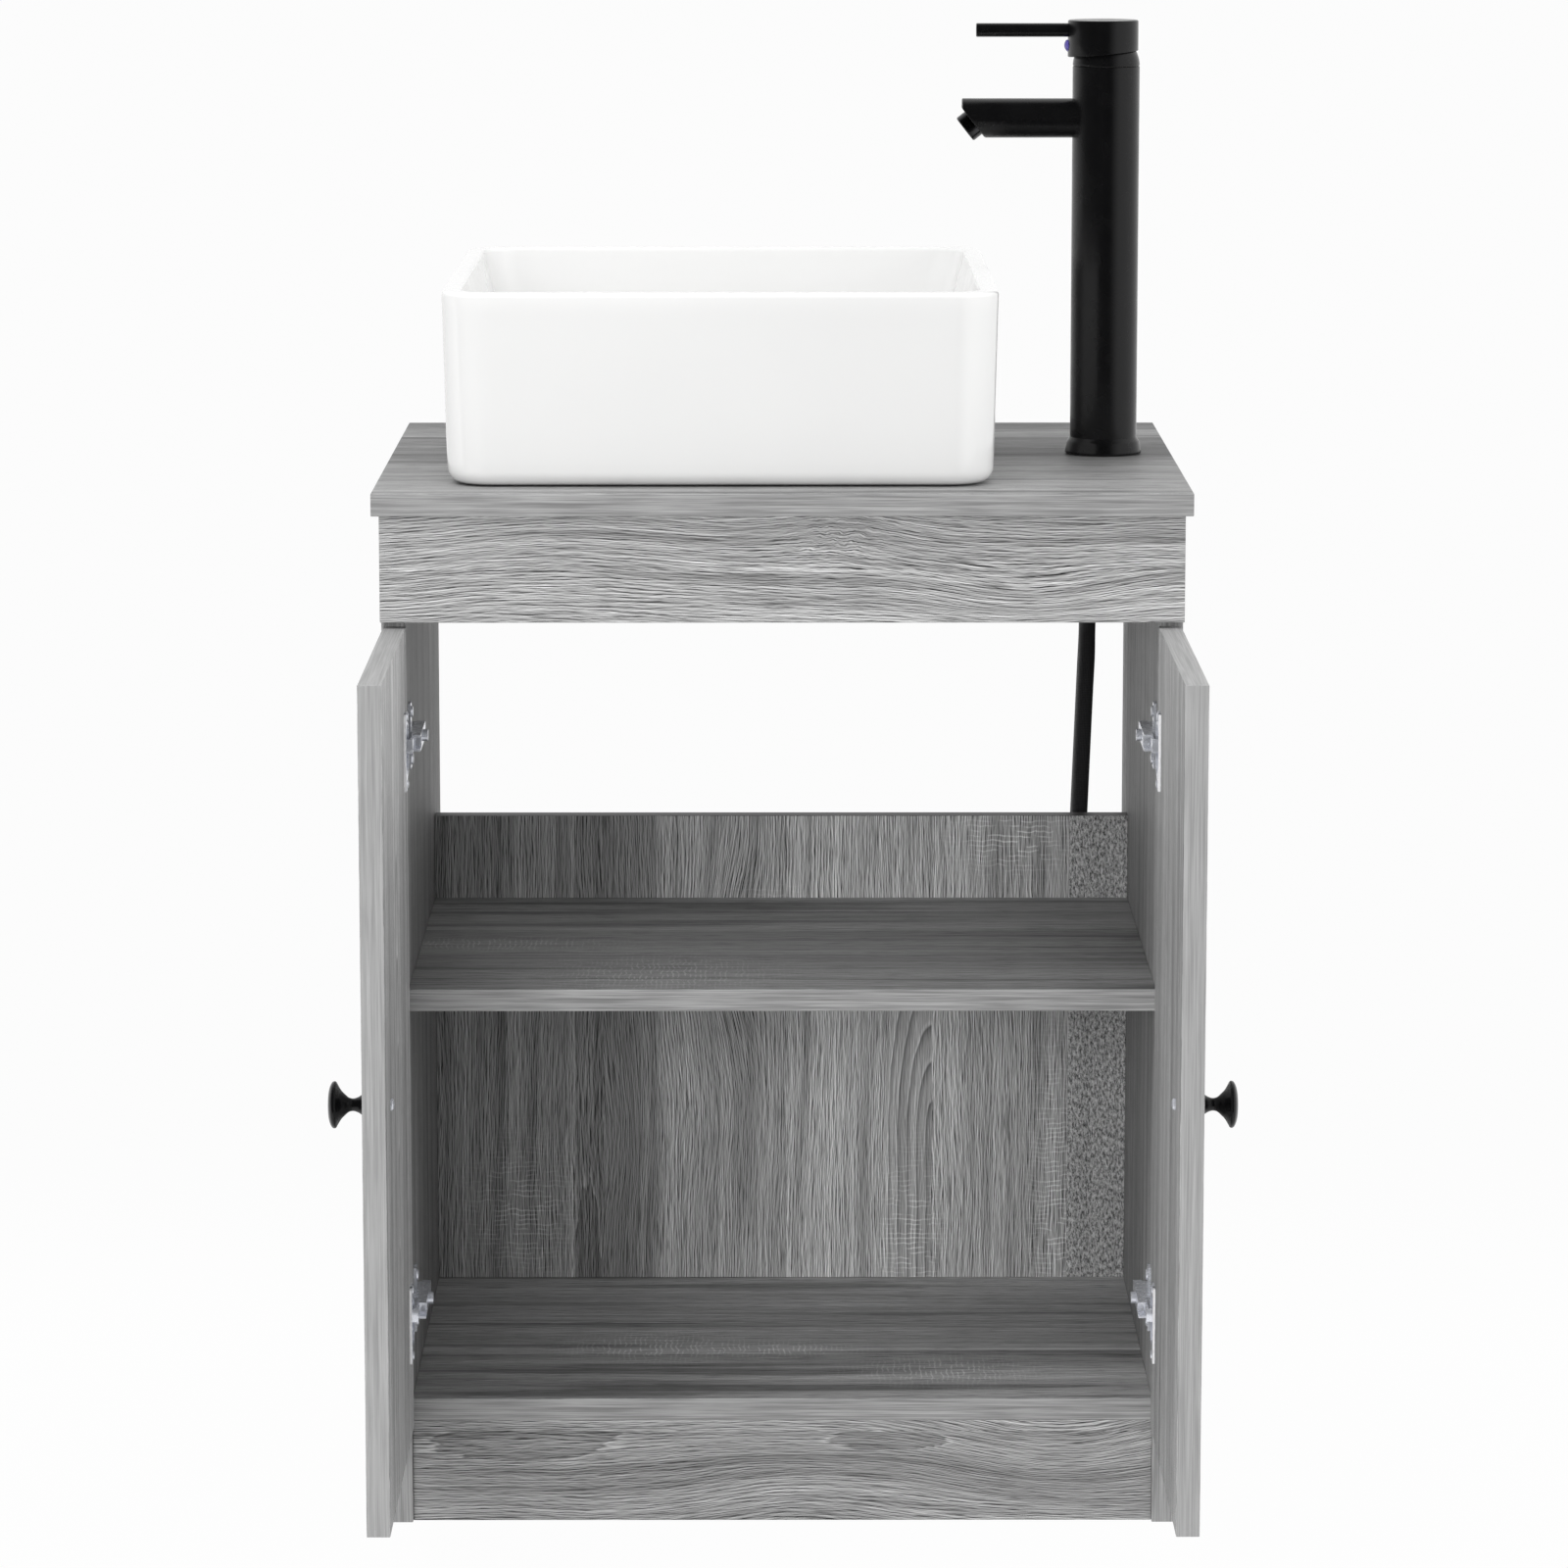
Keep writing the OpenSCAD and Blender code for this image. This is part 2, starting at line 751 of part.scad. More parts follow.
// Mounting plates on the sides' inner faces; x = 0 is the right side's inner face, x falls inwards
module at_plates() {
    both_sides()
        for (z = hinge_zs) translate([inner_x, front_y + plate_setback, z]) mirror([1, 0, 0]) children();
}

module at_plate_screws() {
    for (s = [-1, 1]) translate([0, 0, s * plate_screw_spacing / 2]) children();
}

module plate_pilot_holes() {
    at_plate_screws() translate([-plate_screw_length - hole_end, 0, 0])
        bar_x(plate_screw_d / 2 + 0.05, plate_screw_length + cut);
}

module hinge_plates() {
    color(nickel) at_plates() difference() {
        union() {
            translate([0, -plate_front, -arm_half_height])
                cube([plate_thickness, plate_length, 2 * arm_half_height]);
            translate([0, -wing_half, -plate_screw_spacing / 2 - wing_half])
                cube([plate_wing, 2 * wing_half, plate_screw_spacing + 2 * wing_half]);
        }
        at_plate_screws() translate([-cut, 0, 0]) bar_x(plate_screw_d / 2 + 0.1, plate_wing + 2 * cut);
        translate([-cut, 0, 0]) bar_x(adjusting_r + 0.1, plate_thickness + 2 * cut);
    }
}

module plate_screws() {
    color(nickel) at_plates() at_plate_screws() {
        translate([-plate_screw_length, 0, 0]) bar_x(plate_screw_d / 2, plate_screw_length + plate_wing);
        translate([plate_wing, 0, 0]) rotate([0, 90, 0]) rotate_extrude()
            polygon([[0, 0], [4, 0], [3.4, 1.2], [0, 1.5]]);
    }
}

// The screw that holds each arm on its plate
module adjusting_screws() {
    top = plate_thickness + arm_thickness;
    color(nickel) at_plates() {
        bar_x(adjusting_r, top);
        translate([top, 0, 0]) difference() {
            bar_x(4, 3.2);
            translate([2.2, -3, -0.5]) cube([2, 6, 1]);
        }
    }
}

// Basin

// Radius of the rim's edges
rim_round = 3.5;
basin_slices = [
    for (a = [0 : 18 : 90])
        [basin_foot_round * (1 - cos(a)),
         basin_taper + basin_foot_round * (1 - sin(a)),
         basin_corner - basin_foot_round * (1 - sin(a))],
    for (a = [0 : 30 : 90])
        [basin_height - rim_round + rim_round * sin(a),
         rim_round * (1 - cos(a)), basin_corner - rim_round * (1 - cos(a))],
];
bowl_corner = basin_corner - basin_wall / 2;
bowl_slices = [
    for (a = [0 : 15 : 90])
        [basin_floor + bowl_round * (1 - cos(a)),
         basin_wall + bowl_taper + bowl_round * (1 - sin(a)),
         bowl_corner + bowl_round * (1 - sin(a)) * 0.4],
    for (a = [0 : 30 : 90])
        [basin_height - rim_round + rim_round * sin(a) + (a == 90 ? cut : 0),
         basin_wall - rim_round * (1 - cos(a)), bowl_corner + rim_round * (1 - cos(a))],
];

module basin() {
    color(white) translate([basin_x, basin_y, cabinet_height + gasket]) difference() {
        sliced(basin_width, basin_depth, basin_slices);
        sliced(basin_width, basin_depth, bowl_slices);
        translate([0, 0, -cut]) cylinder(r = waste_hole_r, h = basin_floor + 2 * cut);
    }
}

// Basin waste, drawn round its own axis in absolute height

module at_waste() {
    translate([basin_x, basin_y, 0]) children();
}

waste_body_z = cabinet_height - waste_drop;
waste_nut_height = 10;
waste_collar = 3;
waste_gasket_width = 40;
waste_tail_top = sides_top - waste_nut_height - waste_collar;

// The flanged top of the waste, screwed into its body
module waste_flange() {
    color(nickel) at_waste() translate([0, 0, bowl_z]) difference() {
        rotate_extrude() polygon([
            [waste_bore_d / 2 - 2, 0], [waste_flange_d / 2 - 1, 0], [waste_flange_d / 2, 0.6],
            [waste_flange_d / 2 - 3, waste_flange_thickness - 0.5],
            [waste_flange_d / 2 - 6, waste_flange_thickness], [waste_bore_d / 2, waste_flange_thickness],
            [waste_bore_d / 2 - 2, waste_flange_thickness - 0.6],
        ]);
        translate([0, 0, -cut]) cylinder(r = waste_bore_d / 2 - 2, h = 2 * cut + waste_flange_thickness);
    }
}

// The waste's threaded tube, with a bridge that guides the cap's stem
module waste_body() {
    length = bowl_z - waste_body_z;
    bridge_z = bowl_z - 28;
    color(zinc) at_waste() {
        difference() {
            union() {
                translate([0, 0, waste_body_z]) cylinder(d = waste_tail_d, h = length);
                translate([0, 0, waste_tail_top]) cylinder(d = waste_d, h = bowl_z - waste_tail_top);
            }
            translate([0, 0, waste_body_z - cut]) cylinder(d = waste_bore_d, h = length + 2 * cut);
        }
        difference() {
            union() {
                translate([0, 0, bridge_z]) cylinder(r = waste_stem_d / 2 + 3, h = 12);
                intersection() {
                    translate([0, 0, bridge_z]) cylinder(d = waste_bore_d + 2, h = 6);
                    translate([-waste_d / 2, -2, bridge_z]) cube([waste_d, 4, 6]);
                }
            }
            translate([0, 0, bridge_z - cut])
                cylinder(r = waste_stem_d / 2 + stem_clearance, h = 12 + 2 * cut);
        }
    }
}

// The soft washer between the basin's foot and the countertop
module waste_gasket() {
    color(rubber) at_waste() translate([0, 0, cabinet_height]) difference() {
        cylinder(r = waste_hole_r + waste_gasket_width, h = gasket);
        translate([0, 0, -cut]) cylinder(r = waste_hole_r, h = gasket + 2 * cut);
    }
}

// The large nut that clamps basin and countertop from below
module waste_nut() {
    nut_r = waste_hole_r + 8;
    h = waste_nut_height;
    color(zinc) at_waste() translate([0, 0, sides_top - h]) difference() {
        union() {
            translate([0, 0, h - 2]) cylinder(r = nut_r + 3, h = 2);
            cylinder(r = nut_r, h = h, $fn = 6);
        }
        translate([0, 0, -cut]) cylinder(r = waste_d / 2 + 0.05, h = h + 2 * cut);
    }
}

// The cap that closes the waste and lifts on its stem
module waste_cap() {
    cap_r = waste_cap_d / 2;
    seat = bowl_z + waste_flange_thickness + 0.3;
    color(nickel) at_waste() {
        translate([0, 0, seat]) rotate_extrude() polygon([
            [0, 0], [cap_r - 2, 0], [cap_r, 0.8], [cap_r, 2], [cap_r - 2, 3.2], [cap_r / 2, 4.4], [0, 4.8],
        ]);
        translate([0, 0, seat - 34]) cylinder(d = waste_stem_d, h = 35);
    }
}

// Tap, drawn round its own axis; z = 0 is the countertop's upper face

module at_tap(z = 0) {
    translate([tap_x, tap_y, tap_z + z]) children();
}

module at_seam() {
    at_tap(seam_height) children();
}

// The two ports, one behind the other, and the mounting stud beside them
module at_ports() {
    for (s = [-1, 1]) translate([0, s * hose_offset, 0]) children();
}

module tap_body() {
    body_h = seam_height - gasket;
    cartridge_z = seam_height - cartridge_length;
    color(black) at_tap() difference() {
        translate([0, 0, gasket]) cylinder(d = tap_d, h = body_h);
        translate([0, 0, cartridge_z]) cylinder(d = cartridge_bore_d, h = cartridge_length + cut);
        translate([0, 0, spout_height - chamber_r])
            cylinder(r = chamber_r, h = cartridge_z - spout_height + chamber_r + cut);
        translate([0, 0, spout_height]) mirror([1, 0, 0]) bar_x(spout_bore_r, tap_d);
        translate([0, 0, gasket - cut]) cylinder(r = shank_bore_r, h = shank_bore_depth + cut);
        translate([0, 0, shank_bore_depth]) {
            at_ports() cylinder(d = port_d + 0.1, h = port_depth + hole_end);
            translate([stud_offset, 0, 0]) cylinder(d = stud_d + 0.1, h = stud_in_tap + hole_end);
        }
    }
}

module tap_base_ring() {
    bottom_r = base_ring_d / 2;
    bore_r = tap_d / 2 + 0.05;
    h = base_ring_height;
    color(black) at_tap(gasket) rotate_extrude() polygon([
        [bore_r, 0], [bottom_r, 0], [bottom_r, 1.2], [bottom_r - 1.4, h - 3],
        [bottom_r - 2.2, h - 2], [bore_r + 0.4, h - 1], [bore_r + 0.15, h], [bore_r, h],
    ]);
}

module tap_gasket() {
    color(rubber) at_tap() difference() {
        cylinder(d = base_ring_d - 2, h = gasket);
        translate([0, 0, -cut]) cylinder(d = tap_hole_d, h = gasket + 2 * cut);
    }
}

spout_wall = 2.6;
spout_bore_r = min(spout_d / 2 - spout_wall, chamber_r - 1);
// The outlet face runs from a point on the end's upright part to the spout's underside
outlet_drop = spout_d / 2;
outlet_top = spout_d / 4;
outlet_run = (outlet_top + outlet_drop) * tan(outlet_angle);
outlet_mid = [-(spout_reach - outlet_run / 2), 0, (outlet_top - outlet_drop) / 2];
aerator_neck_r = aerator_d / 2 - 2;
aerator_neck = 6;

// Turns +Z to the outlet's direction, down and away from the column
module at_outlet() {
    at_tap(spout_height) translate(outlet_mid) rotate([0, -90 - outlet_angle, 0]) children();
}

module spout() {
    color(black) difference() {
        at_tap(spout_height) mirror([1, 0, 0]) bar_x(spout_d / 2, spout_reach);
        at_tap() cylinder(d = tap_d, h = seam_height);
        at_tap(spout_height) mirror([1, 0, 0]) bar_x(spout_bore_r, spout_reach - outlet_run - 2);
        at_outlet() translate([-spout_d, -spout_d, 0]) cube([2 * spout_d, 2 * spout_d, spout_d]);
        at_outlet() translate([0, 0, -aerator_neck - hole_end])
            cylinder(r = aerator_neck_r + 0.05, h = aerator_neck + cut);
        at_outlet() translate([0, 0, -aerator_neck - 14]) cylinder(r = aerator_neck_r - 2, h = 15);
    }
}

module aerator() {
    color(nickel) at_outlet() difference() {
        union() {
            cylinder(d = aerator_d, h = aerator_projection - 0.6);
            cylinder(d = aerator_d - 1.2, h = aerator_projection);
            translate([0, 0, -aerator_neck]) cylinder(r = aerator_neck_r, h = aerator_neck + cut);
        }
        translate([0, 0, aerator_projection - 3]) cylinder(d = aerator_d - 4, h = 3 + cut);
        translate([0, 0, -aerator_neck - cut])
            cylinder(r = aerator_neck_r - 1.5, h = aerator_neck + 2 * cut);
    }
}

// The round shoulder on top of the column, which the head's socket tilts over
module tap_dome() {
    color(black) at_seam() difference() {
        sphere(r = dome_r);
        sphere(r = dome_r - dome_wall);
        translate([-tap_d, -tap_d, -2 * tap_d]) cube([2 * tap_d, 2 * tap_d, 2 * tap_d]);
        cylinder(r = dome_opening_r, h = tap_d);
    }
}

module cartridge() {
    neck_r = spindle_d / 2 + cartridge_wall;
    color([0.85, 0.85, 0.82]) at_seam() difference() {
        union() {
            translate([0, 0, -cartridge_length])
                cylinder(d = cartridge_d, h = cartridge_length - cartridge_nut_height);
            translate([0, 0, -cartridge_nut_height - cut])
                cylinder(r = neck_r, h = cartridge_nut_height + cut + cartridge_neck);
        }
        translate([0, 0, -cartridge_length + cartridge_wall])
            cylinder(r = spindle_d / 2 + running, h = cartridge_length + cartridge_neck);
        for (s = [-1, 1]) translate([0, s * 6, -cartridge_length - cut]) cylinder(r = 3, h = 3);
    }
}

// The ring that clamps the cartridge in the column
module cartridge_nut() {
    neck_r = spindle_d / 2 + cartridge_wall + 0.1;
    h = cartridge_nut_height;
    color([0.75, 0.62, 0.30]) at_seam() translate([0, 0, -h]) difference() {
        cylinder(d = cartridge_bore_d - 0.1, h = h);
        translate([0, 0, -cut]) cylinder(r = neck_r, h = h + 2 * cut);
    }
}

stem_half = 3.3;
slot_half = stem_half + 0.2;
slot_depth = 7;

// The spindle turns in the cartridge; its fork carries the cross pin at the dome's centre
module spindle() {
    spindle_z = cartridge_wall + 0.2 - cartridge_length;
    color(zinc) at_seam() difference() {
        translate([0, 0, spindle_z]) cylinder(d = spindle_d, h = cartridge_neck - spindle_z);
        translate([-spindle_d, -slot_half, -slot_depth])
            cube([2 * spindle_d, 2 * slot_half, 3 * slot_depth]);
        translate([0, -spindle_d, 0]) bar_y(stem_pin_d / 2 + 0.02, 2 * spindle_d);
    }
}

module stem_pin() {
    length = spindle_d - 2;
    color(zinc) at_seam() translate([0, -length / 2, 0]) bar_y(stem_pin_d / 2, length);
}

// The stem tilts on the cross pin and carries the head
module lever_stem() {
    half = stem_size / 2;
    color(zinc) at_seam() difference() {
        union() {
            translate([0, -stem_half, 0]) bar_y(half, 2 * stem_half);
            translate([-half, -stem_half, 0]) cube([stem_size, 2 * stem_half, stem_length]);
        }
        translate([0, -stem_size, 0]) bar_y(stem_pin_d / 2 + running, 2 * stem_size);
    }
}

// Places a shape on the grub screw's axis: z = 0 is on the head's outer face, +Z points in and up
module at_grub() {
    at_seam() translate([-head_offset - head_d / 2, 0, grub_z]) rotate([0, 90 - grub_angle, 0]) children();
}

grub_d = 4;
grub_length = 16;
grub_start = 5.6;
plug_depth = 4;
plug_d = 6;

module tap_head() {
    slant = atan2(head_high - head_low, head_d);
    mid_z = (head_low + head_high) / 2;
    color(black) difference() {
        at_seam() {
            difference() {
                translate([-head_offset, 0, 0]) union() {
                    cylinder(d = head_d, h = head_top - 0.8);
                    cylinder(d = head_d - 1.6, h = head_top);
                }
                sphere(r = socket_r);
                translate([-head_offset, 0, mid_z]) rotate([0, -slant, 0])
                    translate([-head_d, -head_d, -2 * head_d]) cube([2 * head_d, 2 * head_d, 2 * head_d]);
            }
            difference() {
                translate([0, 0, boss_z]) cylinder(r = boss_r, h = socket_r - boss_z + 0.5);
                translate([-stem_size / 2 - 0.05, -stem_half - 0.05, boss_z - cut])
                    cube([stem_size + 0.1, 2 * stem_half + 0.1, stem_length - boss_z + cut + 0.1]);
            }
        }
        at_seam() translate([-lever_reach, 0, lever_height])
            bar_x(lever_d / 2 + 0.05, lever_reach - lever_root);
        at_grub() translate([0, 0, -1]) cylinder(d = grub_d + 0.1, h = grub_start + grub_length + 1);
        at_grub() translate([0, 0, -2]) cylinder(d = plug_d + 0.1, h = 2 + plug_depth);
    }
}

module lever_rod() {
    length = lever_reach - lever_root;
    color(black) at_seam() translate([-lever_reach, 0, lever_height]) {
        translate([0.8, 0, 0]) bar_x(lever_d / 2, length - 1);
        bar_x(lever_d / 2 - 0.8, length - 1);
    }
}

// The coloured button that covers the grub screw
module indicator() {
    rise = 2.4;
    chord_r = indicator_d / 2;
    ball_r = (chord_r * chord_r + rise * rise) / (2 * rise);
    color([0.30, 0.25, 0.75]) at_grub() {
        difference() {
            translate([0, 0, ball_r - rise]) sphere(r = ball_r);
            at_grub_head_clear();
        }
        translate([0, 0, -0.5]) cylinder(d = plug_d, h = plug_depth + 0.3);
    }
}

// What the button leaves to the head: the head's own cylinder, in the grub screw's frame
module at_grub_head_clear() {
    rotate([0, -(90 - grub_angle), 0]) translate([head_d / 2, 0, -head_d])
        cylinder(d = head_d + 0.04, h = 2 * head_d);
}

module grub_screw() {
    color(zinc) at_grub() translate([0, 0, grub_start]) difference() {
        cylinder(d = grub_d, h = grub_length);
        translate([0, 0, -cut]) cylinder(d = 2.3, h = 3, $fn = 6);
    }
}

// What holds the tap under the countertop

washer_r = 23;
washer_thickness = 3;
stud_below = 42;

module mounting_stud() {
    below = board + stud_below;
    color(zinc) at_tap(-below) translate([stud_offset, 0, 0])
        cylinder(d = stud_d, h = below + shank_bore_depth + stud_in_tap);
}

module clamp_washer() {
    slot_half_width = hose_offset + sleeve_d / 2 + 0.7;
    color(zinc) at_tap(-board - washer_thickness) difference() {
        cylinder(r = washer_r, h = washer_thickness);
        translate([-washer_r - cut, -slot_half_width, -cut])
            cube([washer_r + cut + sleeve_d / 2 + 0.5, 2 * slot_half_width, washer_thickness + 2 * cut]);
        translate([stud_offset, 0, -cut]) cylinder(d = stud_d + 0.4, h = washer_thickness + 2 * cut);
    }
}

module mounting_nut() {
    height = 12;
    color(nickel) at_tap(-board - washer_thickness - height) translate([stud_offset, 0, 0]) difference() {
        cylinder(d = 11.5, h = height, $fn = 6);
        translate([0, 0, -cut]) cylinder(d = stud_d + 0.1, h = height + 2 * cut);
    }
}

// Supply hoses

function direction(a, b) = (b - a) / norm(b - a);
function tangent(p, i) =
    i == 0 ? direction(p[0], p[1]) :
    i == len(p) - 1 ? direction(p[i - 1], p[i]) : direction(p[i - 1], p[i + 1]);
// The route lies in a plane that nearly holds X, so X serves as the ring's first direction
function ring(p, i, r, sides) =
    let (t = tangent(p, i), v = cross(t, [1, 0, 0]) / norm(cross(t, [1, 0, 0])), u = cross(v, t))
    [for (k = [0 : sides - 1]) p[i] + r * (cos(360 * k / sides) * u + sin(360 * k / sides) * v)];

module tube(p, r, sides = 12) {
    n = len(p);
    points = [for (i = [0 : n - 1]) each ring(p, i, r, sides)];
    walls = [
        for (i = [0 : n - 2]) for (k = [0 : sides - 1])
            let (a = i * sides + k, b = i * sides + (k + 1) % sides)
            each [[b + sides, b, a], [a + sides, b + sides, a]]
    ];
    caps = [[for (k = [0 : sides - 1]) k], [for (k = [sides - 1 : -1 : 0]) (n - 1) * sides + k]];
    polyhedron(points = points, faces = concat(walls, caps));
}

module hose_hot() {
    color(black) tube(hot_route, hose_d / 2);
}

module hose_cold() {
    color(black) tube(cold_route, hose_d / 2);
}

// Crimped end sleeves with threaded tails, screwed into the tap's ports
module hose_sleeves() {
    tail_top = shank_bore_depth + port_depth;
    color(nickel) at_tap() at_ports() {
        translate([0, 0, -board - sleeve_below])
            cylinder(d = sleeve_d, h = board + sleeve_below + sleeve_above);
        translate([0, 0, sleeve_above - cut]) cylinder(d = port_d, h = tail_top - sleeve_above + cut);
    }
}

module hose_nut() {
    difference() {
        translate([0, 0, -hose_nut_length]) cylinder(d = hose_nut_d, h = hose_nut_length, $fn = 6);
        translate([0, 0, -hose_nut_length - cut])
            cylinder(r = hose_nut_bore_r, h = hose_nut_bore_depth + cut);
    }
}

module hose_nuts() {
    color(nickel) for (p = [hot_route[len(hot_route) - 1], cold_route[len(cold_route) - 1]])
        translate(p) hose_nut();
}

countertop();
side_left();
side_right();
floor_panel();
plinth_board();
apron_board();
middle_shelf();
back_panel();
rear_rail();
dowels();
cam_locks();
cam_bolts();
door_left();
door_right();
knob_left();
knob_right();
knob_screw_left();
knob_screw_right();
hinge_cups_left();
hinge_cups_right();
cup_screws_left();
cup_screws_right();
hinge_pins_left();
hinge_pins_right();
hinge_arms_left();
hinge_arms_right();
hinge_plates();
plate_screws();
adjusting_screws();
basin();
waste_flange();
waste_body();
waste_gasket();
waste_nut();
waste_cap();
tap_body();
tap_base_ring();
tap_gasket();
spout();
aerator();
tap_dome();
cartridge();
cartridge_nut();
spindle();
lever_stem();
stem_pin();
tap_head();
lever_rod();
indicator();
grub_screw();
mounting_stud();
clamp_washer();
mounting_nut();
hose_hot();
hose_cold();
hose_sleeves();
hose_nuts();
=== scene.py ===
"""A two-door vanity unit with a vessel basin and a tall single-lever tap, its doors open."""

import math

import bmesh
import bpy
import numpy as np
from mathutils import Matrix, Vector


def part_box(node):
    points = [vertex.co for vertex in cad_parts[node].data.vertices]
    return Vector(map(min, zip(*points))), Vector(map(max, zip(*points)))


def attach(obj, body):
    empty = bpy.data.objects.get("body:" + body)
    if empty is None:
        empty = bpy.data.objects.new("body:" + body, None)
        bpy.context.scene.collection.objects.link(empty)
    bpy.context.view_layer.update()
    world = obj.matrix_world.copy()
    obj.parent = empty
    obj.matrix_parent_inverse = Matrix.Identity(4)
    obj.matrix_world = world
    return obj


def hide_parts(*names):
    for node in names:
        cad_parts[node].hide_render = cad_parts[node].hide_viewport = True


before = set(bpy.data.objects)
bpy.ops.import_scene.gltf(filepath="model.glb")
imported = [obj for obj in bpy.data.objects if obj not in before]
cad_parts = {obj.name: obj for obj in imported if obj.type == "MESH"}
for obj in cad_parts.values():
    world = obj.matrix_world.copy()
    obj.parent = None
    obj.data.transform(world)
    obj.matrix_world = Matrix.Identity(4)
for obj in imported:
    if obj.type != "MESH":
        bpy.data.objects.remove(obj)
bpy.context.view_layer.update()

# Camera
# A long lens stands four metres off and well above the countertop, and looks a little down.
camera = bpy.data.objects.new("camera", bpy.data.cameras.new("camera"))
bpy.context.collection.objects.link(camera)
camera.data.sensor_width = 36.0
camera.data.lens = 140.11
camera.location = (-0.00878, -4.00731, 1.17356)
camera.rotation_euler = (math.radians(90 - 9.4742), 0.0, math.radians(-0.142))
bpy.context.scene.camera = camera

# Supply hoses
# Black rubber hoses, 12 mm across. They drop out of the tap's crimped sleeves, bend back under
# the countertop, pass over the back panel and hang behind it, each down to its union nut.


def put(name, points, faces, uv=None, finish=(), slots=None, sharp=None):
    """A mesh object from arrays: doubled points are merged, so seams and poles close. finish are its
    materials, slots says which of them each face has, and edges turned more than sharp stay hard."""
    mesh = bpy.data.meshes.new(name)
    mesh.from_pydata(np.asarray(points).reshape(-1, 3).tolist(), [], np.asarray(faces).tolist())
    if uv is not None:
        mesh.uv_layers.new(name="lay").data.foreach_set("uv", np.asarray(uv, float).ravel())
    if slots is not None:
        mesh.polygons.foreach_set("material_index", np.asarray(slots, np.int32))
    work = bmesh.new()
    work.from_mesh(mesh)
    bmesh.ops.remove_doubles(work, verts=work.verts, dist=2e-6)
    work.to_mesh(mesh)
    work.free()
    mesh.polygons.foreach_set("use_smooth", np.ones(len(mesh.polygons), bool))
    if sharp is not None:
        mesh.set_sharp_from_angle(angle=math.radians(sharp))
    for material in finish:
        mesh.materials.append(material)
    piece = bpy.data.objects.new(name, mesh)
    bpy.context.collection.objects.link(piece)
    return piece


def fit(piece, node, body):
    """Hides the node that a piece stands for, and hangs the piece on the body that carries it."""
    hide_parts(node)
    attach(piece, body)


def quads(rows, columns, closed=True):
    """Corner numbers of the quads between the rows of a grid, wrapped round where it is closed."""
    across = np.arange(columns if closed else columns - 1)
    i, j = np.meshgrid(np.arange(rows - 1), across, indexing="ij")
    k = (j + 1) % columns
    corners = [i * columns + j, i * columns + k, (i + 1) * columns + k, (i + 1) * columns + j]
    return np.stack(corners, -1).reshape(-1, 4)


def grid_uv(rows, columns, along, around):
    """The UV of each quad's corners: along the rows and round the columns, in metres."""
    i, j = np.meshgrid(np.arange(rows - 1), np.arange(columns), indexing="ij")
    u = np.stack([along[i], along[i], along[i + 1], along[i + 1]], -1)
    v = np.stack([around[j], around[j + 1], around[j + 1], around[j]], -1)
    return np.stack([u, v], -1).reshape(-1, 2)


def shader(name, colour, rough, metal=0.0, specular=0.5):
    """A material with its principled shader's plain sockets set."""
    material = bpy.data.materials.new(name)
    material.use_nodes = True
    surface = material.node_tree.nodes["Principled BSDF"]
    surface.inputs["Base Color"].default_value = (*colour, 1.0)
    surface.inputs["Roughness"].default_value = rough
    surface.inputs["Metallic"].default_value = metal
    surface.inputs["Specular IOR Level"].default_value = specular
    return material


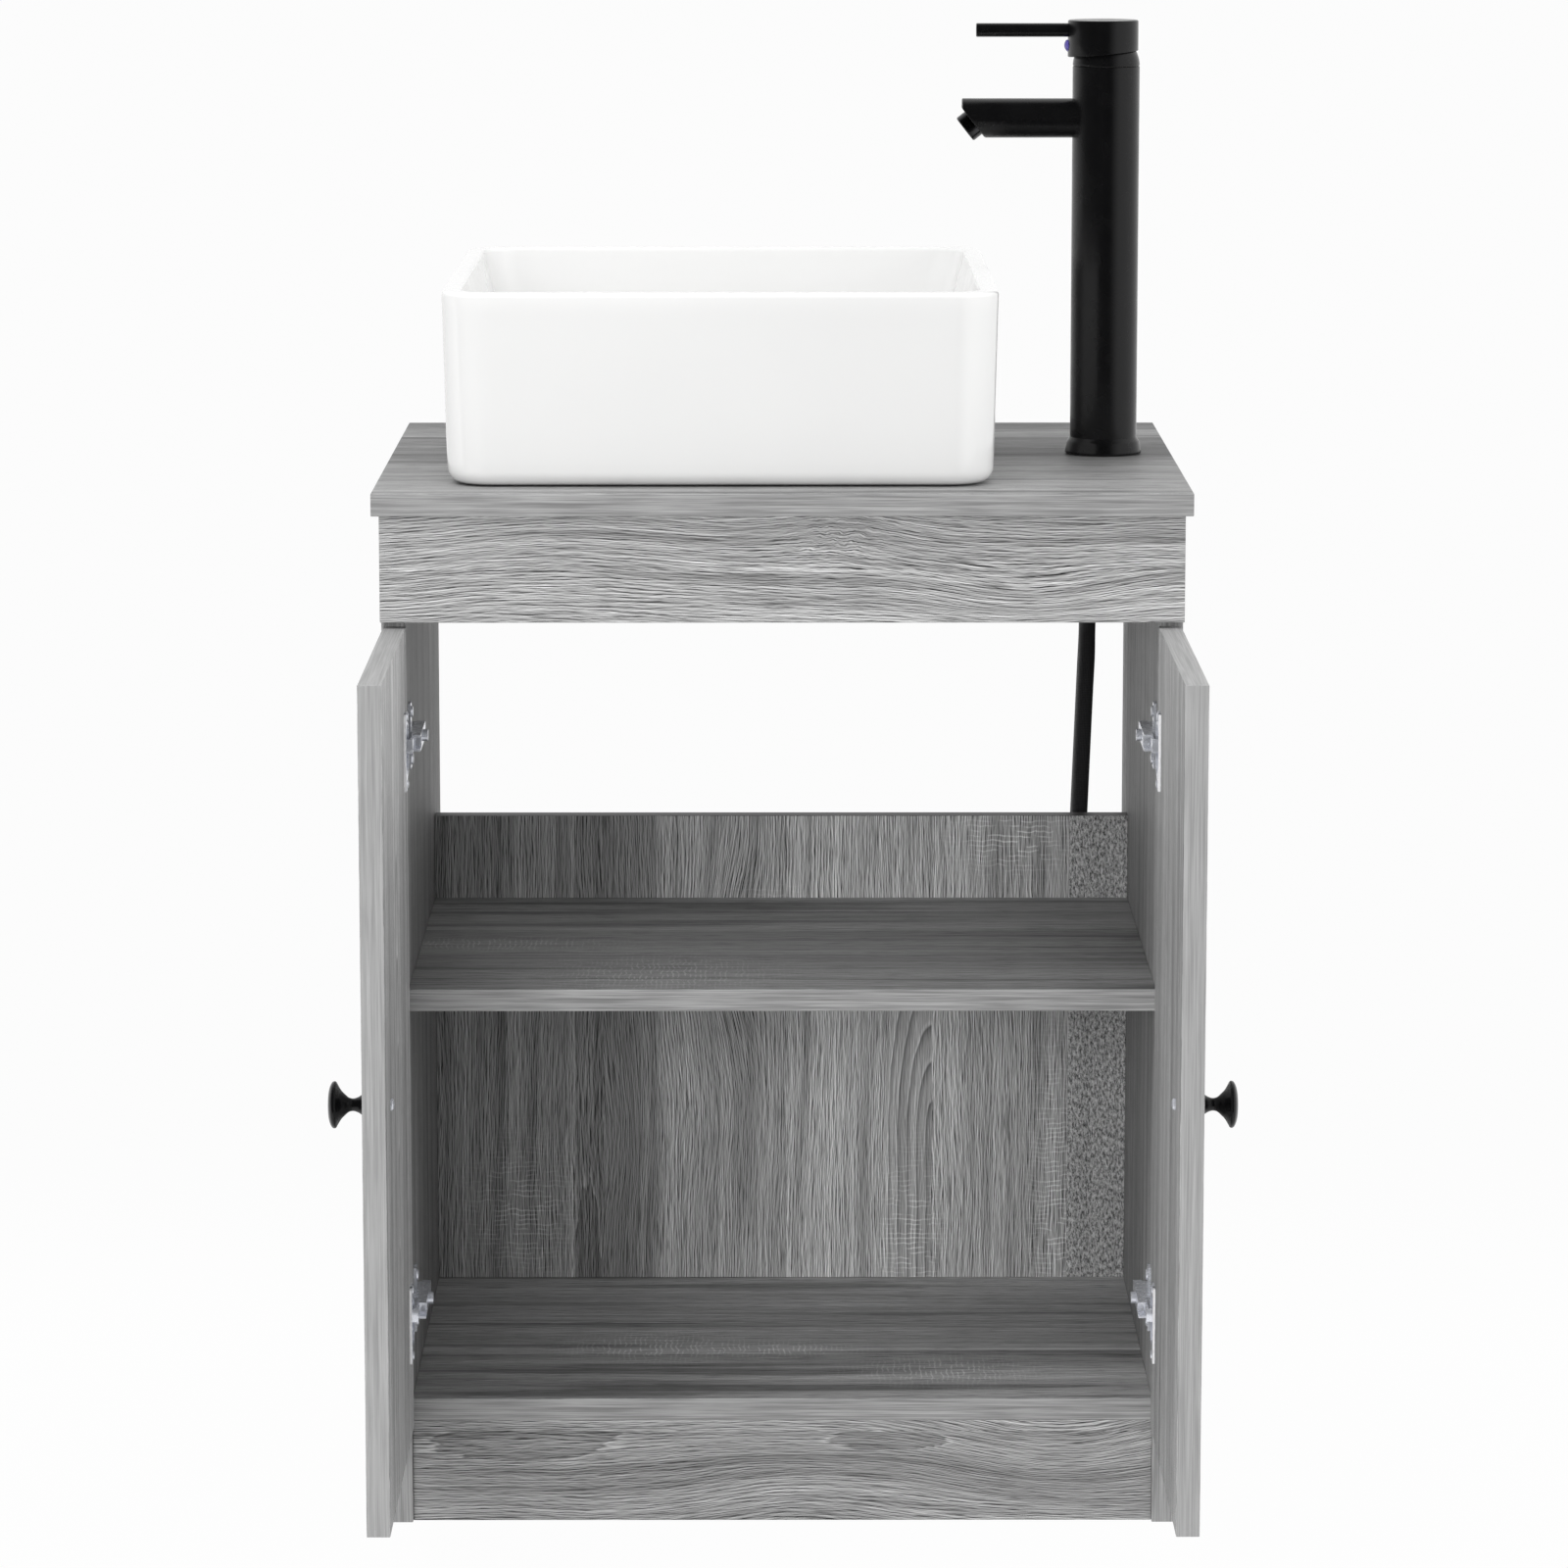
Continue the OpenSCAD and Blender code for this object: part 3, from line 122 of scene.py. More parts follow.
class Net:
    """Short hands for wiring a material's nodes. Most calls make a node and give back its output."""

    def __init__(self, material):
        self.tree = material.node_tree
        self.surface = self.tree.nodes["Principled BSDF"]

    def node(self, kind, **settings):
        made = self.tree.nodes.new(kind)
        for key, value in settings.items():
            setattr(made, key, value)
        return made

    def feed(self, made, values):
        for key, value in values.items():
            if isinstance(value, bpy.types.NodeSocket):
                self.tree.links.new(value, made.inputs[key])
            else:
                made.inputs[key].default_value = value

    def math(self, operation, a, b=0.0):
        made = self.node("ShaderNodeMath", operation=operation)
        self.feed(made, {0: a, 1: b})
        return made.outputs[0]

    def times(self, a, b):
        return self.math("MULTIPLY", a, b)

    def plus(self, a, b):
        return self.math("ADD", a, b)

    def minus(self, a, b):
        return self.math("SUBTRACT", a, b)

    def join(self, x, y, z=0.0):
        made = self.node("ShaderNodeCombineXYZ")
        self.feed(made, {0: x, 1: y, 2: z})
        return made.outputs[0]

    def split(self, vector):
        made = self.node("ShaderNodeSeparateXYZ")
        self.feed(made, {0: vector})
        return made.outputs

    def place(self, kind):
        return self.node("ShaderNodeTexCoord").outputs[kind]

    def noise(self, vector, scale=1.0, detail=2.0, rough=0.5, dims="2D"):
        made = self.node("ShaderNodeTexNoise", noise_dimensions=dims)
        self.feed(made, {"Vector": vector, "Scale": scale, "Detail": detail, "Roughness": rough})
        return made.outputs[0]

    def span(self, value, low, high, start=0.0, end=1.0, smooth=True):
        made = self.node("ShaderNodeMapRange", interpolation_type="SMOOTHSTEP" if smooth else "LINEAR")
        self.feed(made, {0: value, 1: low, 2: high, 3: start, 4: end})
        return made.outputs[0]

    def steps(self, value, stops, kind="LINEAR"):
        made = self.node("ShaderNodeValToRGB")
        ramp = made.color_ramp
        ramp.interpolation = kind
        while len(ramp.elements) < len(stops):
            ramp.elements.new(0.5)
        for element, (place, colour) in zip(ramp.elements, stops):
            element.position = place
            element.color = (*colour, 1.0)
        self.feed(made, {0: value})
        return made.outputs[0]

    def mix(self, factor, a, b):
        made = self.node("ShaderNodeMix", data_type="RGBA")
        self.feed(made, {0: factor, 6: (*a, 1.0), 7: (*b, 1.0)})
        return made.outputs[2]

    def bump(self, height, strength, distance):
        made = self.node("ShaderNodeBump")
        self.feed(made, {"Strength": strength, "Distance": distance, "Height": height})
        self.tree.links.new(made.outputs[0], self.surface.inputs["Normal"])

    def set(self, socket, value):
        self.tree.links.new(value, self.surface.inputs[socket])


def through(points, steps=6):
    """A smooth line through the points, by the Catmull-Rom rule: half the step between a point's two
    neighbours is its slope."""
    p = np.asarray(points, float)
    slope = np.gradient(p, axis=0)
    t = np.linspace(0, 1, steps, endpoint=False)[None, :, None]
    a, b, ma, mb = p[:-1, None], p[1:, None], slope[:-1, None], slope[1:, None]
    line = ((2 * t**3 - 3 * t**2 + 1) * a + (t**3 - 2 * t**2 + t) * ma
            + (3 * t**2 - 2 * t**3) * b + (t**3 - t**2) * mb)
    return np.vstack([line.reshape(-1, p.shape[1]), p[-1:]])


def pipe(name, line, radius, sides=28, **more):
    """A round tube: each ring is centre + radius * (cos * u + sin * v), square to the line's slope.
    Its ends close on their centres."""
    slope = np.gradient(line, axis=0)
    slope /= np.linalg.norm(slope, axis=1)[:, None]
    v = np.cross(slope, [1.0, 0.0, 0.0])
    v /= np.linalg.norm(v, axis=1)[:, None]
    u = np.cross(v, slope)
    turn = np.linspace(0, 2 * math.pi, sides, endpoint=False)[None, :, None]
    rings = line[:, None] + radius * (np.cos(turn) * u[:, None] + np.sin(turn) * v[:, None])
    ends = [np.repeat(line[i][None, None], sides, 1) for i in (0, -1)]
    rings = np.concatenate([ends[0], rings, ends[1]])
    along = np.concatenate([[0], np.cumsum(np.linalg.norm(np.diff(line, axis=0), axis=1))])
    along = np.concatenate([[0], along, along[-1:]])
    around = np.linspace(0, 2 * math.pi * radius, sides + 1)
    rows = len(rings)
    return put(name, rings, quads(rows, sides), grid_uv(rows, sides, along, around), sharp=50, **more)


rubber = shader("black hose", (0.018, 0.018, 0.019), 0.5, specular=0.35)
net = Net(rubber)
along, around = net.split(net.place("UV"))[:2]
strands = 2600.0
weave = net.math("SINE", net.times(net.plus(along, around), strands))
other = net.math("SINE", net.times(net.minus(along, around), strands))
braid = net.times(weave, other)
net.set("Base Color", net.mix(net.span(braid, -1.0, 1.0), (0.012, 0.012, 0.013), (0.03, 0.03, 0.031)))
net.bump(braid, 0.35, 0.0003)

hot_route = [
    (223, 200, 684), (223, 200, 660), (223, 200, 645), (223, 202, 630), (223, 208, 614),
    (223, 219, 602), (223, 234, 596), (223, 255, 594), (223, 280, 594), (222, 305, 594),
    (222, 326, 591), (221, 343, 583), (221, 354, 570), (221, 360, 554), (221, 362, 538),
    (220, 362, 515), (219, 362, 490), (218, 362, 464), (217, 362, 438), (216, 362, 410),
    (215, 362, 380), (214, 362, 350), (213, 362, 325), (213, 362, 306),
]
cold_route = [
    (223, 216, 684), (223, 216, 670), (223, 216, 660), (223, 218, 645), (223, 224, 630),
    (223, 235, 618), (223, 250, 612), (223, 270, 610), (223, 295, 610), (223, 320, 610),
    (223, 342, 607), (222, 360, 599), (222, 373, 586), (222, 380, 570), (222, 382, 552),
    (221, 382, 528), (220, 382, 502), (219, 382, 476), (218, 382, 450), (217, 382, 424),
    (216, 382, 396), (215, 382, 366), (214, 382, 336), (213, 382, 308), (213, 382, 284),
]


def turned(name, profile, place, axis=(0, 0, 1), sides=96, sharp=32, **more):
    """A turned piece: the profile's point (radius, height) goes round the axis, to
    place + height * axis + radius * (cos t * u + sin t * w)."""
    profile, axis = np.array(profile, float), np.array(axis, float)
    axis /= np.linalg.norm(axis)
    u = np.cross([0.0, 1.0, 0.0] if abs(axis[1]) < 0.9 else [0.0, 0.0, 1.0], axis)
    u /= np.linalg.norm(u)
    w = np.cross(axis, u)
    t = np.linspace(0, 2 * math.pi, sides, endpoint=False)[None, :, None]
    r, h = profile[:, 0, None, None], profile[:, 1, None, None]
    points = np.array(place, float) + h * axis + r * (np.cos(t) * u + np.sin(t) * w)
    along = np.concatenate([[0], np.cumsum(np.linalg.norm(np.diff(profile, axis=0), axis=1))])
    around = np.linspace(0, 2 * math.pi * profile[:, 0].max(), sides + 1)
    rows = len(profile)
    return put(name, points, quads(rows, sides), grid_uv(rows, sides, along, around), sharp=sharp, **more)


def soften(profile, radius, steps=4):
    """Rounds each corner b of a profile by the curve (1-t)^2 a + 2t(1-t) b + t^2 c, where a and c lie
    one radius before and after it, or half a side where that is less."""
    p = np.array(profile, float)
    line = [p[:1]]
    t = np.linspace(0, 1, steps + 1)[:, None]
    for before, b, after in zip(p[:-2], p[1:-1], p[2:]):
        back, on = before - b, after - b
        a = b + back * min(0.5, radius / np.linalg.norm(back))
        c = b + on * min(0.5, radius / np.linalg.norm(on))
        line.append((1 - t) ** 2 * a + 2 * t * (1 - t) * b + t**2 * c)
    return np.vstack(line + [p[-1:]])


def metal(name, colour, rough, streak=0.06, gloss=1.0):
    """Plated metal with faint uneven polish and fine rubbed lines, on Object coordinates. Satin plating
    scatters part of its light, so its gloss is under 1."""
    material = shader(name, colour, rough, metal=gloss)
    net = Net(material)
    where = net.place("Object")
    uneven = net.noise(where, 240.0, 3.0, dims="3D")
    fine = net.noise(where, 2600.0, 1.0, dims="3D")
    mixed = net.plus(net.times(uneven, 0.7), net.times(fine, 0.3))
    net.set("Roughness", net.span(mixed, 0.3, 0.7, rough - streak, rough + streak))
    duller, brighter = [[min(1, c * share) for c in colour] for share in (0.94, 1.05)]
    net.set("Base Color", net.mix(uneven, duller, brighter))
    net.bump(fine, 0.05, 0.0002)
    return material


nickel = metal("nickel plate", (0.62, 0.63, 0.65), 0.28, gloss=0.7)
brass = metal("brass", (0.62, 0.47, 0.22), 0.3)
hose_width = 0.012
nut_form = soften([(0, -0.005), (0.0074, -0.005), (0.0074, -0.015), (0.0098, -0.015), (0.0105, -0.0138),
                   (0.0105, -0.0012), (0.0096, 0.0), (0, 0.0)], 0.0004)
for side, route, length in (("hot", hot_route, 0.498), ("cold", cold_route, 0.523)):
    line = through(np.array(route) / 1000)
    nut = turned("union_nut_" + side, nut_form, line[-1], sides=6, sharp=25, finish=[nickel])
    nut.modifiers.new("broken edges", "BEVEL").width = 0.0004
    fit(nut, "hose_nuts", "cabinet")
    hose = pipe("hose_" + side + "_braided", line, hose_width / 2, finish=[rubber])
    fit(hose, "hose_" + side, "cabinet")

# Studio
# A pale floor, greyer behind the object but white where the camera sees it, soft lamps in front, at
# the right and above, and an even pale sky.
scene = bpy.context.scene
scene.view_settings.view_transform = "Standard"

floor_grid = np.array([[[-30, -0.8, 0], [30, -0.8, 0]], [[-30, 60, 0], [30, 60, 0]]], float)
ground = put("floor_ground", floor_grid, [[0, 1, 3, 2]])
white_floor = shader("white floor", (0.6, 0.6, 0.6), 0.9, specular=0.0)
net = Net(white_floor)
tint = net.span(net.split(net.place("Object"))[1], 0.4, 1.2, 0.6, 0.12)
net.set("Base Color", net.join(tint, tint, tint))
seen = net.node("ShaderNodeLightPath")
glow = net.node("ShaderNodeEmission")
net.feed(glow, {0: (1, 1, 1, 1), 1: 1.0})
blend = net.node("ShaderNodeMixShader")
shown = net.math("MAXIMUM", seen.outputs["Is Camera Ray"], seen.outputs["Is Glossy Ray"])
shown = net.math("MAXIMUM", shown, seen.outputs["Is Transmission Ray"])
net.feed(blend, {0: net.times(shown, 0.97), 1: net.surface.outputs[0], 2: glow.outputs[0]})
net.tree.links.new(blend.outputs[0], net.tree.nodes["Material Output"].inputs[0])
ground.data.materials.append(white_floor)

world = bpy.data.worlds.new("studio sky")
scene.world = world
world.use_nodes = True
sky = world.node_tree
sky.nodes.clear()


def sky_node(kind, *values):
    """A node of the sky, its inputs fed in order: a socket is linked, and None leaves one alone."""
    made = sky.nodes.new(kind)
    for place, value in enumerate(values):
        if isinstance(value, bpy.types.NodeSocket):
            sky.links.new(value, made.inputs[place])
        elif value is not None:
            made.inputs[place].default_value = value
    return made


# The sky is even in front and at the sides, brighter above and dimmer behind. Mirrored in a gloss, the
# studio is dark in front, where the camera stands, and pale behind and to the right.
heading = sky_node("ShaderNodeSeparateXYZ", sky_node("ShaderNodeTexCoord").outputs["Generated"])
front = sky_node("ShaderNodeMapRange", heading.outputs[1], -0.25, 0.35, 0.54, 0.17)
above = sky_node("ShaderNodeMapRange", heading.outputs[2], 0.30, 0.9, 0.0, 0.6)
even = sky_node("ShaderNodeMath", front.outputs[0], above.outputs[0])
behind = sky_node("ShaderNodeMapRange", heading.outputs[1], 0.0, 0.5, 0.0, 1.0)
right = sky_node("ShaderNodeMapRange", heading.outputs[0], 0.3, 0.7, 0.0, 1.0)
left = sky_node("ShaderNodeMapRange", heading.outputs[0], -0.95, -0.6, 0.08, 0.0)
flanks = sky_node("ShaderNodeMath", left.outputs[0], right.outputs[0])
mirrored = sky_node("ShaderNodeMath", behind.outputs[0], flanks.outputs[0])
mirrored.use_clamp = True
seen = sky_node("ShaderNodeLightPath")
level = sky_node("ShaderNodeMix", seen.outputs["Is Glossy Ray"], None, even.outputs[0], mirrored.outputs[0])
light = sky_node("ShaderNodeBackground", (1, 1, 1, 1), level.outputs[0])
plain = sky_node("ShaderNodeBackground", (1, 1, 1, 1), 1.0)
both = sky_node("ShaderNodeMixShader", seen.outputs["Is Camera Ray"], light.outputs[0], plain.outputs[0])
sky_node("ShaderNodeOutputWorld", both.outputs[0])


def lamp(name, place, aim, power, width, height):
    """A soft box: even on the surfaces, and not itself mirrored in them."""
    data = bpy.data.lights.new(name, "AREA")
    data.shape, data.size, data.size_y, data.energy = "RECTANGLE", width, height, power
    made = bpy.data.objects.new(name, data)
    bpy.context.collection.objects.link(made)
    made.location = place
    made.visible_glossy = False
    aim = Vector(aim) - made.location
    made.rotation_euler = aim.to_track_quat("-Z", "Y").to_euler()


lamp("lamp_front", (-0.9, -4.3, 1.1), (0.0, 0.0, 0.5), 70, 1.8, 1.6)
lamp("lamp_right", (2.8, 0.2, 1.2), (0.0, 0.2, 0.8), 32, 0.6, 1.4)
lamp("lamp_above", (-1.2, -1.0, 2.9), (0.0, 0.1, 0.7), 28, 1.4, 1.2)

# Boards
# Chipboard 15 mm thick in a printed grey-washed oak paper, with the grain along each board.
# Every edge has a thin glued band, and its corners are broken by half a millimetre.


def oak(name, planks, bends=(), burls=(), arches=(), islands=(), painted_shadows=(), saws=(), speckle=None,
        bands=(85.0, 0.70)):
    """Printed oak on UV in metres, u along the grain and v across it. planks are (v where one starts,
    tone, seed, sway): each has its own figure. The grain's height is flow = v + sway * noise + the
    bends, which are (u, v, length, width, height) bells; a burl breaks it up inside its bell. arches
    are (v of the crown, v from, v to, u of the base, slope, spacing, count): the nested curves on
    which sqrt((v - crown)^2 + (slope * (u - base))^2) is a whole number of spacings, up to the count.
    islands are dark ovals (u, v, length, width) with a pale outline, cut off at a height v. The painted
    shadows are soft dark patches (u, v, length, width, share left) of painted shade, a cast shadow on the
    board. saws are patches (u, v, length, width) of pale marks across the grain. speckle is a strip of
    coarse grains, from one v to another. bands are how many dark streaks a metre has, and how dark they are."""
    material = shader(name, (0.4, 0.4, 0.4), 0.55, specular=0.3)
    net = Net(material)
    times, plus, minus = net.times, net.plus, net.minus
    u, v = net.split(net.place("UV"))[:2]
    plank = net.split(net.steps(v, [(at, (tone, seed, sway)) for at, tone, seed, sway in planks], "CONSTANT"))
    tone, seed, sway = plank[0], times(plank[1], 60.0), plank[2]

    def figure(height, run, across, depth=seed, **more):
        """Noise that changes run times a metre along the grain and across times a metre over it."""
        return net.noise(net.join(times(u, run), times(height, across), depth), dims="3D", **more)

    def apart(at_u, at_v, length, width):
        """Squared distance from a place, in lengths along the grain and widths across it."""
        du, dv = times(minus(u, at_u), 1 / length), times(minus(v, at_v), 1 / width)
        return plus(times(du, du), times(dv, dv))

    def bell(*place):
        """A soft bump, exp(-distance^2), on a place."""
        return net.math("EXPONENT", times(apart(*place), -1.0))

    def between(low, high):
        """1 where v is between two heights, or else 0."""
        return times(net.math("GREATER_THAN", v, low), net.math("LESS_THAN", v, high))

    def greys(value, *stops):
        """A ramp of (position, grey level) stops."""
        return net.steps(value, [(at, (level,) * 3) for at, level in stops])

    slow, quick = figure(v, 3.2, 9.0), figure(v, 14.0, 30.0)
    swing = plus(times(minus(slow, 0.5), 0.060), times(minus(quick, 0.5), 0.005))
    flow = plus(v, times(swing, sway))
    for *place, height in bends:
        flow = plus(flow, times(bell(*place), height))
    for place in burls:
        knots = net.noise(net.join(times(u, 110.0), times(v, 190.0)))
        flow = plus(flow, times(times(bell(*place), minus(knots, 0.5)), 0.004))

    # broad bands, growth lines, fine strokes with a painted highlight on one side and painted shade on the
    # other, as if lit in relief, and short cracks
    value = net.span(figure(flow, 1.3, 34.0), 0.3, 0.7, 0.80, 1.15, smooth=False)
    streak = figure(flow, 2.4, bands[0], plus(seed, 5.0), detail=1.5)
    value = times(value, times(net.span(streak, 0.52, 0.68, 1.0, bands[1]),
                               net.span(streak, 0.30, 0.42, 1.10, 1.0)))
    growth = figure(flow, 1.8, 190.0, rough=0.55)
    value = times(value, net.span(growth, 0.28, 0.72, 0.80, 1.17, smooth=False))

    def stroke(run, across, offset=0.0):
        """Fine strokes, moved over by the offset."""
        return figure(plus(flow, offset), run, across, detail=2.5, rough=0.65)

    # painted highlight and shade: the strokes moved over a little, minus the strokes themselves, so each pore
    # looks lit from one side
    here, beside = stroke(36.0, 760.0), stroke(36.0, 760.0, 0.0007)
    painted_emboss = minus(beside, here)
    fine = minus(stroke(70.0, 1400.0, 0.0004), stroke(70.0, 1400.0))
    value = times(value, plus(1.0, plus(times(painted_emboss, 3.8), times(fine, 2.6))))
    value = times(value, net.span(here, 0.30, 0.45, 0.60, 1.04))
    crack = stroke(14.0, 320.0)
    value = times(value, net.span(crack, 0.61, 0.68, 1.0, 0.52))
    value = times(value, net.span(crack, 0.27, 0.35, 1.22, 1.0))
    mottle = figure(v, 30.0, 60.0)
    value = times(value, net.span(mottle, 0.3, 0.7, 0.94, 1.06, smooth=False))

    for crown, low, high, base, slope, spacing, count in arches:
        out = minus(v, crown)
        rise = times(net.math("MAXIMUM", minus(u, base), 0.0), slope)
        phase = times(net.math("SQRT", plus(times(out, out), times(rise, rise))), 1 / spacing)
        phase = plus(phase, times(minus(mottle, 0.5), 0.4))
        ring = greys(net.math("FRACT", phase), (0.0, 1.25), (0.08, 1.06), (0.45, 1.0), (0.70, 0.74),
                     (0.86, 0.42), (0.93, 1.30))
        inside = times(between(low, high), net.span(phase, count, count + 0.8, 1.0, 0.0))
        value = plus(value, times(times(inside, minus(1.0, value)), 0.5))
        value = times(value, plus(1.0, times(inside, minus(ring, 1.0))))
    for *place, cut in islands:
        far = plus(plus(apart(*place), times(minus(quick, 0.5), 1.5)), times(minus(crack, 0.5), 1.6))
        shape = greys(times(far, 0.5), (0.0, 0.80), (0.40, 0.74), (0.46, 0.60), (0.50, 1.40),
                      (0.56, 1.20), (0.62, 1.0))
        value = times(value, plus(1.0, times(minus(shape, 1.0), net.math("LESS_THAN", v, cut))))
    # painted shade: each patch darkens the print where a thing standing on the board casts its shadow
    for *place, left in painted_shadows:
        value = times(value, plus(1.0, times(bell(*place), left - 1.0)))
    if saws:
        ladder = net.math("SINE", plus(times(u, 1750.0), times(mottle, 14.0)))
        broken = net.noise(net.join(times(u, 150.0), times(v, 70.0)), detail=1.0)
        rungs = times(net.span(ladder, 0.3, 0.95), net.span(broken, 0.38, 0.56))
        for place in saws:
            value = plus(value, times(times(rungs, bell(*place)), 0.62))
    if speckle:
        slanted = net.join(times(plus(u, times(v, 0.4)), 240.0), times(v, 620.0))
        grains = net.noise(slanted, detail=4.0, rough=0.9)
        coarse = times(net.span(grains, 0.38, 0.62, 0.15, 1.70, smooth=False),
                       net.span(growth, 0.3, 0.7, 0.85, 1.1))
        value = plus(value, times(minus(coarse, value), between(*speckle)))
    colour = times(tone, value)
    net.set("Base Color", net.join(colour, colour, colour))
    net.set("Roughness", net.span(here, 0.35, 0.6, 0.62, 0.52))
    net.bump(value, 0.10, 0.0004)
    return material


def banding(name, tone, depth=1.0):
    """Edge band: long fine lines along the band, on UV in metres. depth is how strong they are."""
    material = shader(name, (tone,) * 3, 0.5, specular=0.3)
    net = Net(material)
    u, v = net.split(net.place("UV"))[:2]

    def lines(run, across, **more):
        """Noise drawn out along the band."""
        return net.noise(net.join(net.times(u, run), net.times(v, across)), **more)

    fine = lines(14.0, 1050.0, detail=3.0, rough=0.6)
    slow = lines(1.5, 300.0, detail=1.0)
    cloud = lines(12.0, 50.0)
    value = net.times(net.span(fine, 0.3, 0.7, 0.70, 1.20), net.span(slow, 0.3, 0.7, 0.90, 1.10))
    value = net.times(value, net.span(cloud, 0.3, 0.7, 0.95, 1.05))
    value = net.times(net.math("POWER", value, depth), tone)
    net.set("Base Color", net.join(value, value, value))
    net.bump(fine, 0.06, 0.0003)
    return material


def slab(name, low, high, thick, grain, show, shift=0.0, **more):
    """A board as six grids. A point within one radius of an edge is pulled onto the round:
    p = q + radius * (p - q) / |p - q|, where q is p held back from every face by the radius.
    The UV runs along the grain on the two faces, and along the edge on the four edges. On the sides
    that don't show it starts 1.7 m further on, so that they have another stretch of the print."""
    low, high = np.array(low, float), np.array(high, float)
    radius, hidden_print = 0.0006, 1.7
    steps = radius * np.array([0, 0.586, 1.0])
    lines = [np.concatenate([low[a] + steps, high[a] - steps[::-1]]) for a in range(3)]
    points, faces, uvs, slots, count = [], [], [], [], 0
    for axis in range(3):
        a, b = (axis + 1) % 3, (axis + 2) % 3
        run = grain if axis == thick else 3 - axis - thick
        over = 3 - axis - run
        for side in (0, 1):
            grid = np.empty((6, 6, 3))
            grid[..., a], grid[..., b] = np.meshgrid(lines[a], lines[b], indexing="ij")
            grid[..., axis] = (low, high)[side][axis]
            held = np.clip(grid, low + radius, high - radius)
            away = grid - held
            round_grid = held + radius * away / np.linalg.norm(away, axis=-1, keepdims=True)
            corners = quads(6, 6, closed=False)
            corners = corners[:, ::-1] if side == 1 else corners
            flat = grid.reshape(-1, 3)
            along = flat[:, run] - low[run] + shift + (0.0 if side == show else hidden_print)
            uv = np.stack([along, flat[:, over] - low[over]], -1)[corners]
            points.append(round_grid.reshape(-1, 3))
            faces.append(corners + count)
            uvs.append(uv.reshape(-1, 2))
            slots.append(np.full(len(corners), 0 if axis == thick else 1))
            count += len(flat)
    piece = put(name, np.concatenate(points), np.concatenate(faces), np.concatenate(uvs),
                slots=np.concatenate(slots), **more)
    piece.modifiers.new("even faces", "WEIGHTED_NORMAL").weight = 60
    return piece


def drill(piece, holes):
    """Cuts round holes, each (start, end, radius), with a boolean that is made real at once."""
    sides = 64
    turn = np.linspace(0, 2 * math.pi, sides, endpoint=False)[None, :, None]
    piece.modifiers.clear()
    for start, end, radius in holes:
        line = np.array([start, end], float)
        way = (line[1] - line[0]) / np.linalg.norm(line[1] - line[0])
        side = np.cross(way, [0.0, 0.6, 0.8] if abs(way[0]) > 0.9 else [1.0, 0.0, 0.0])
        side /= np.linalg.norm(side)
        rings = line[:, None] + radius * (np.cos(turn) * side + np.sin(turn) * np.cross(way, side))
        caps = [np.repeat(line[i][None, None], sides, 1) for i in (0, 1)]
        cutter = put("cutter", np.concatenate([caps[0], rings, caps[1]]), quads(4, sides))
        cut = piece.modifiers.new("hole", "BOOLEAN")
        cut.operation, cut.object, cut.solver = "DIFFERENCE", cutter, "EXACT"
        solid = bpy.data.meshes.new_from_object(piece.evaluated_get(bpy.context.evaluated_depsgraph_get()))
        piece.modifiers.clear()
        piece.data = solid
        bpy.data.objects.remove(cutter)
    piece.modifiers.new("even faces", "WEIGHTED_NORMAL").weight = 60


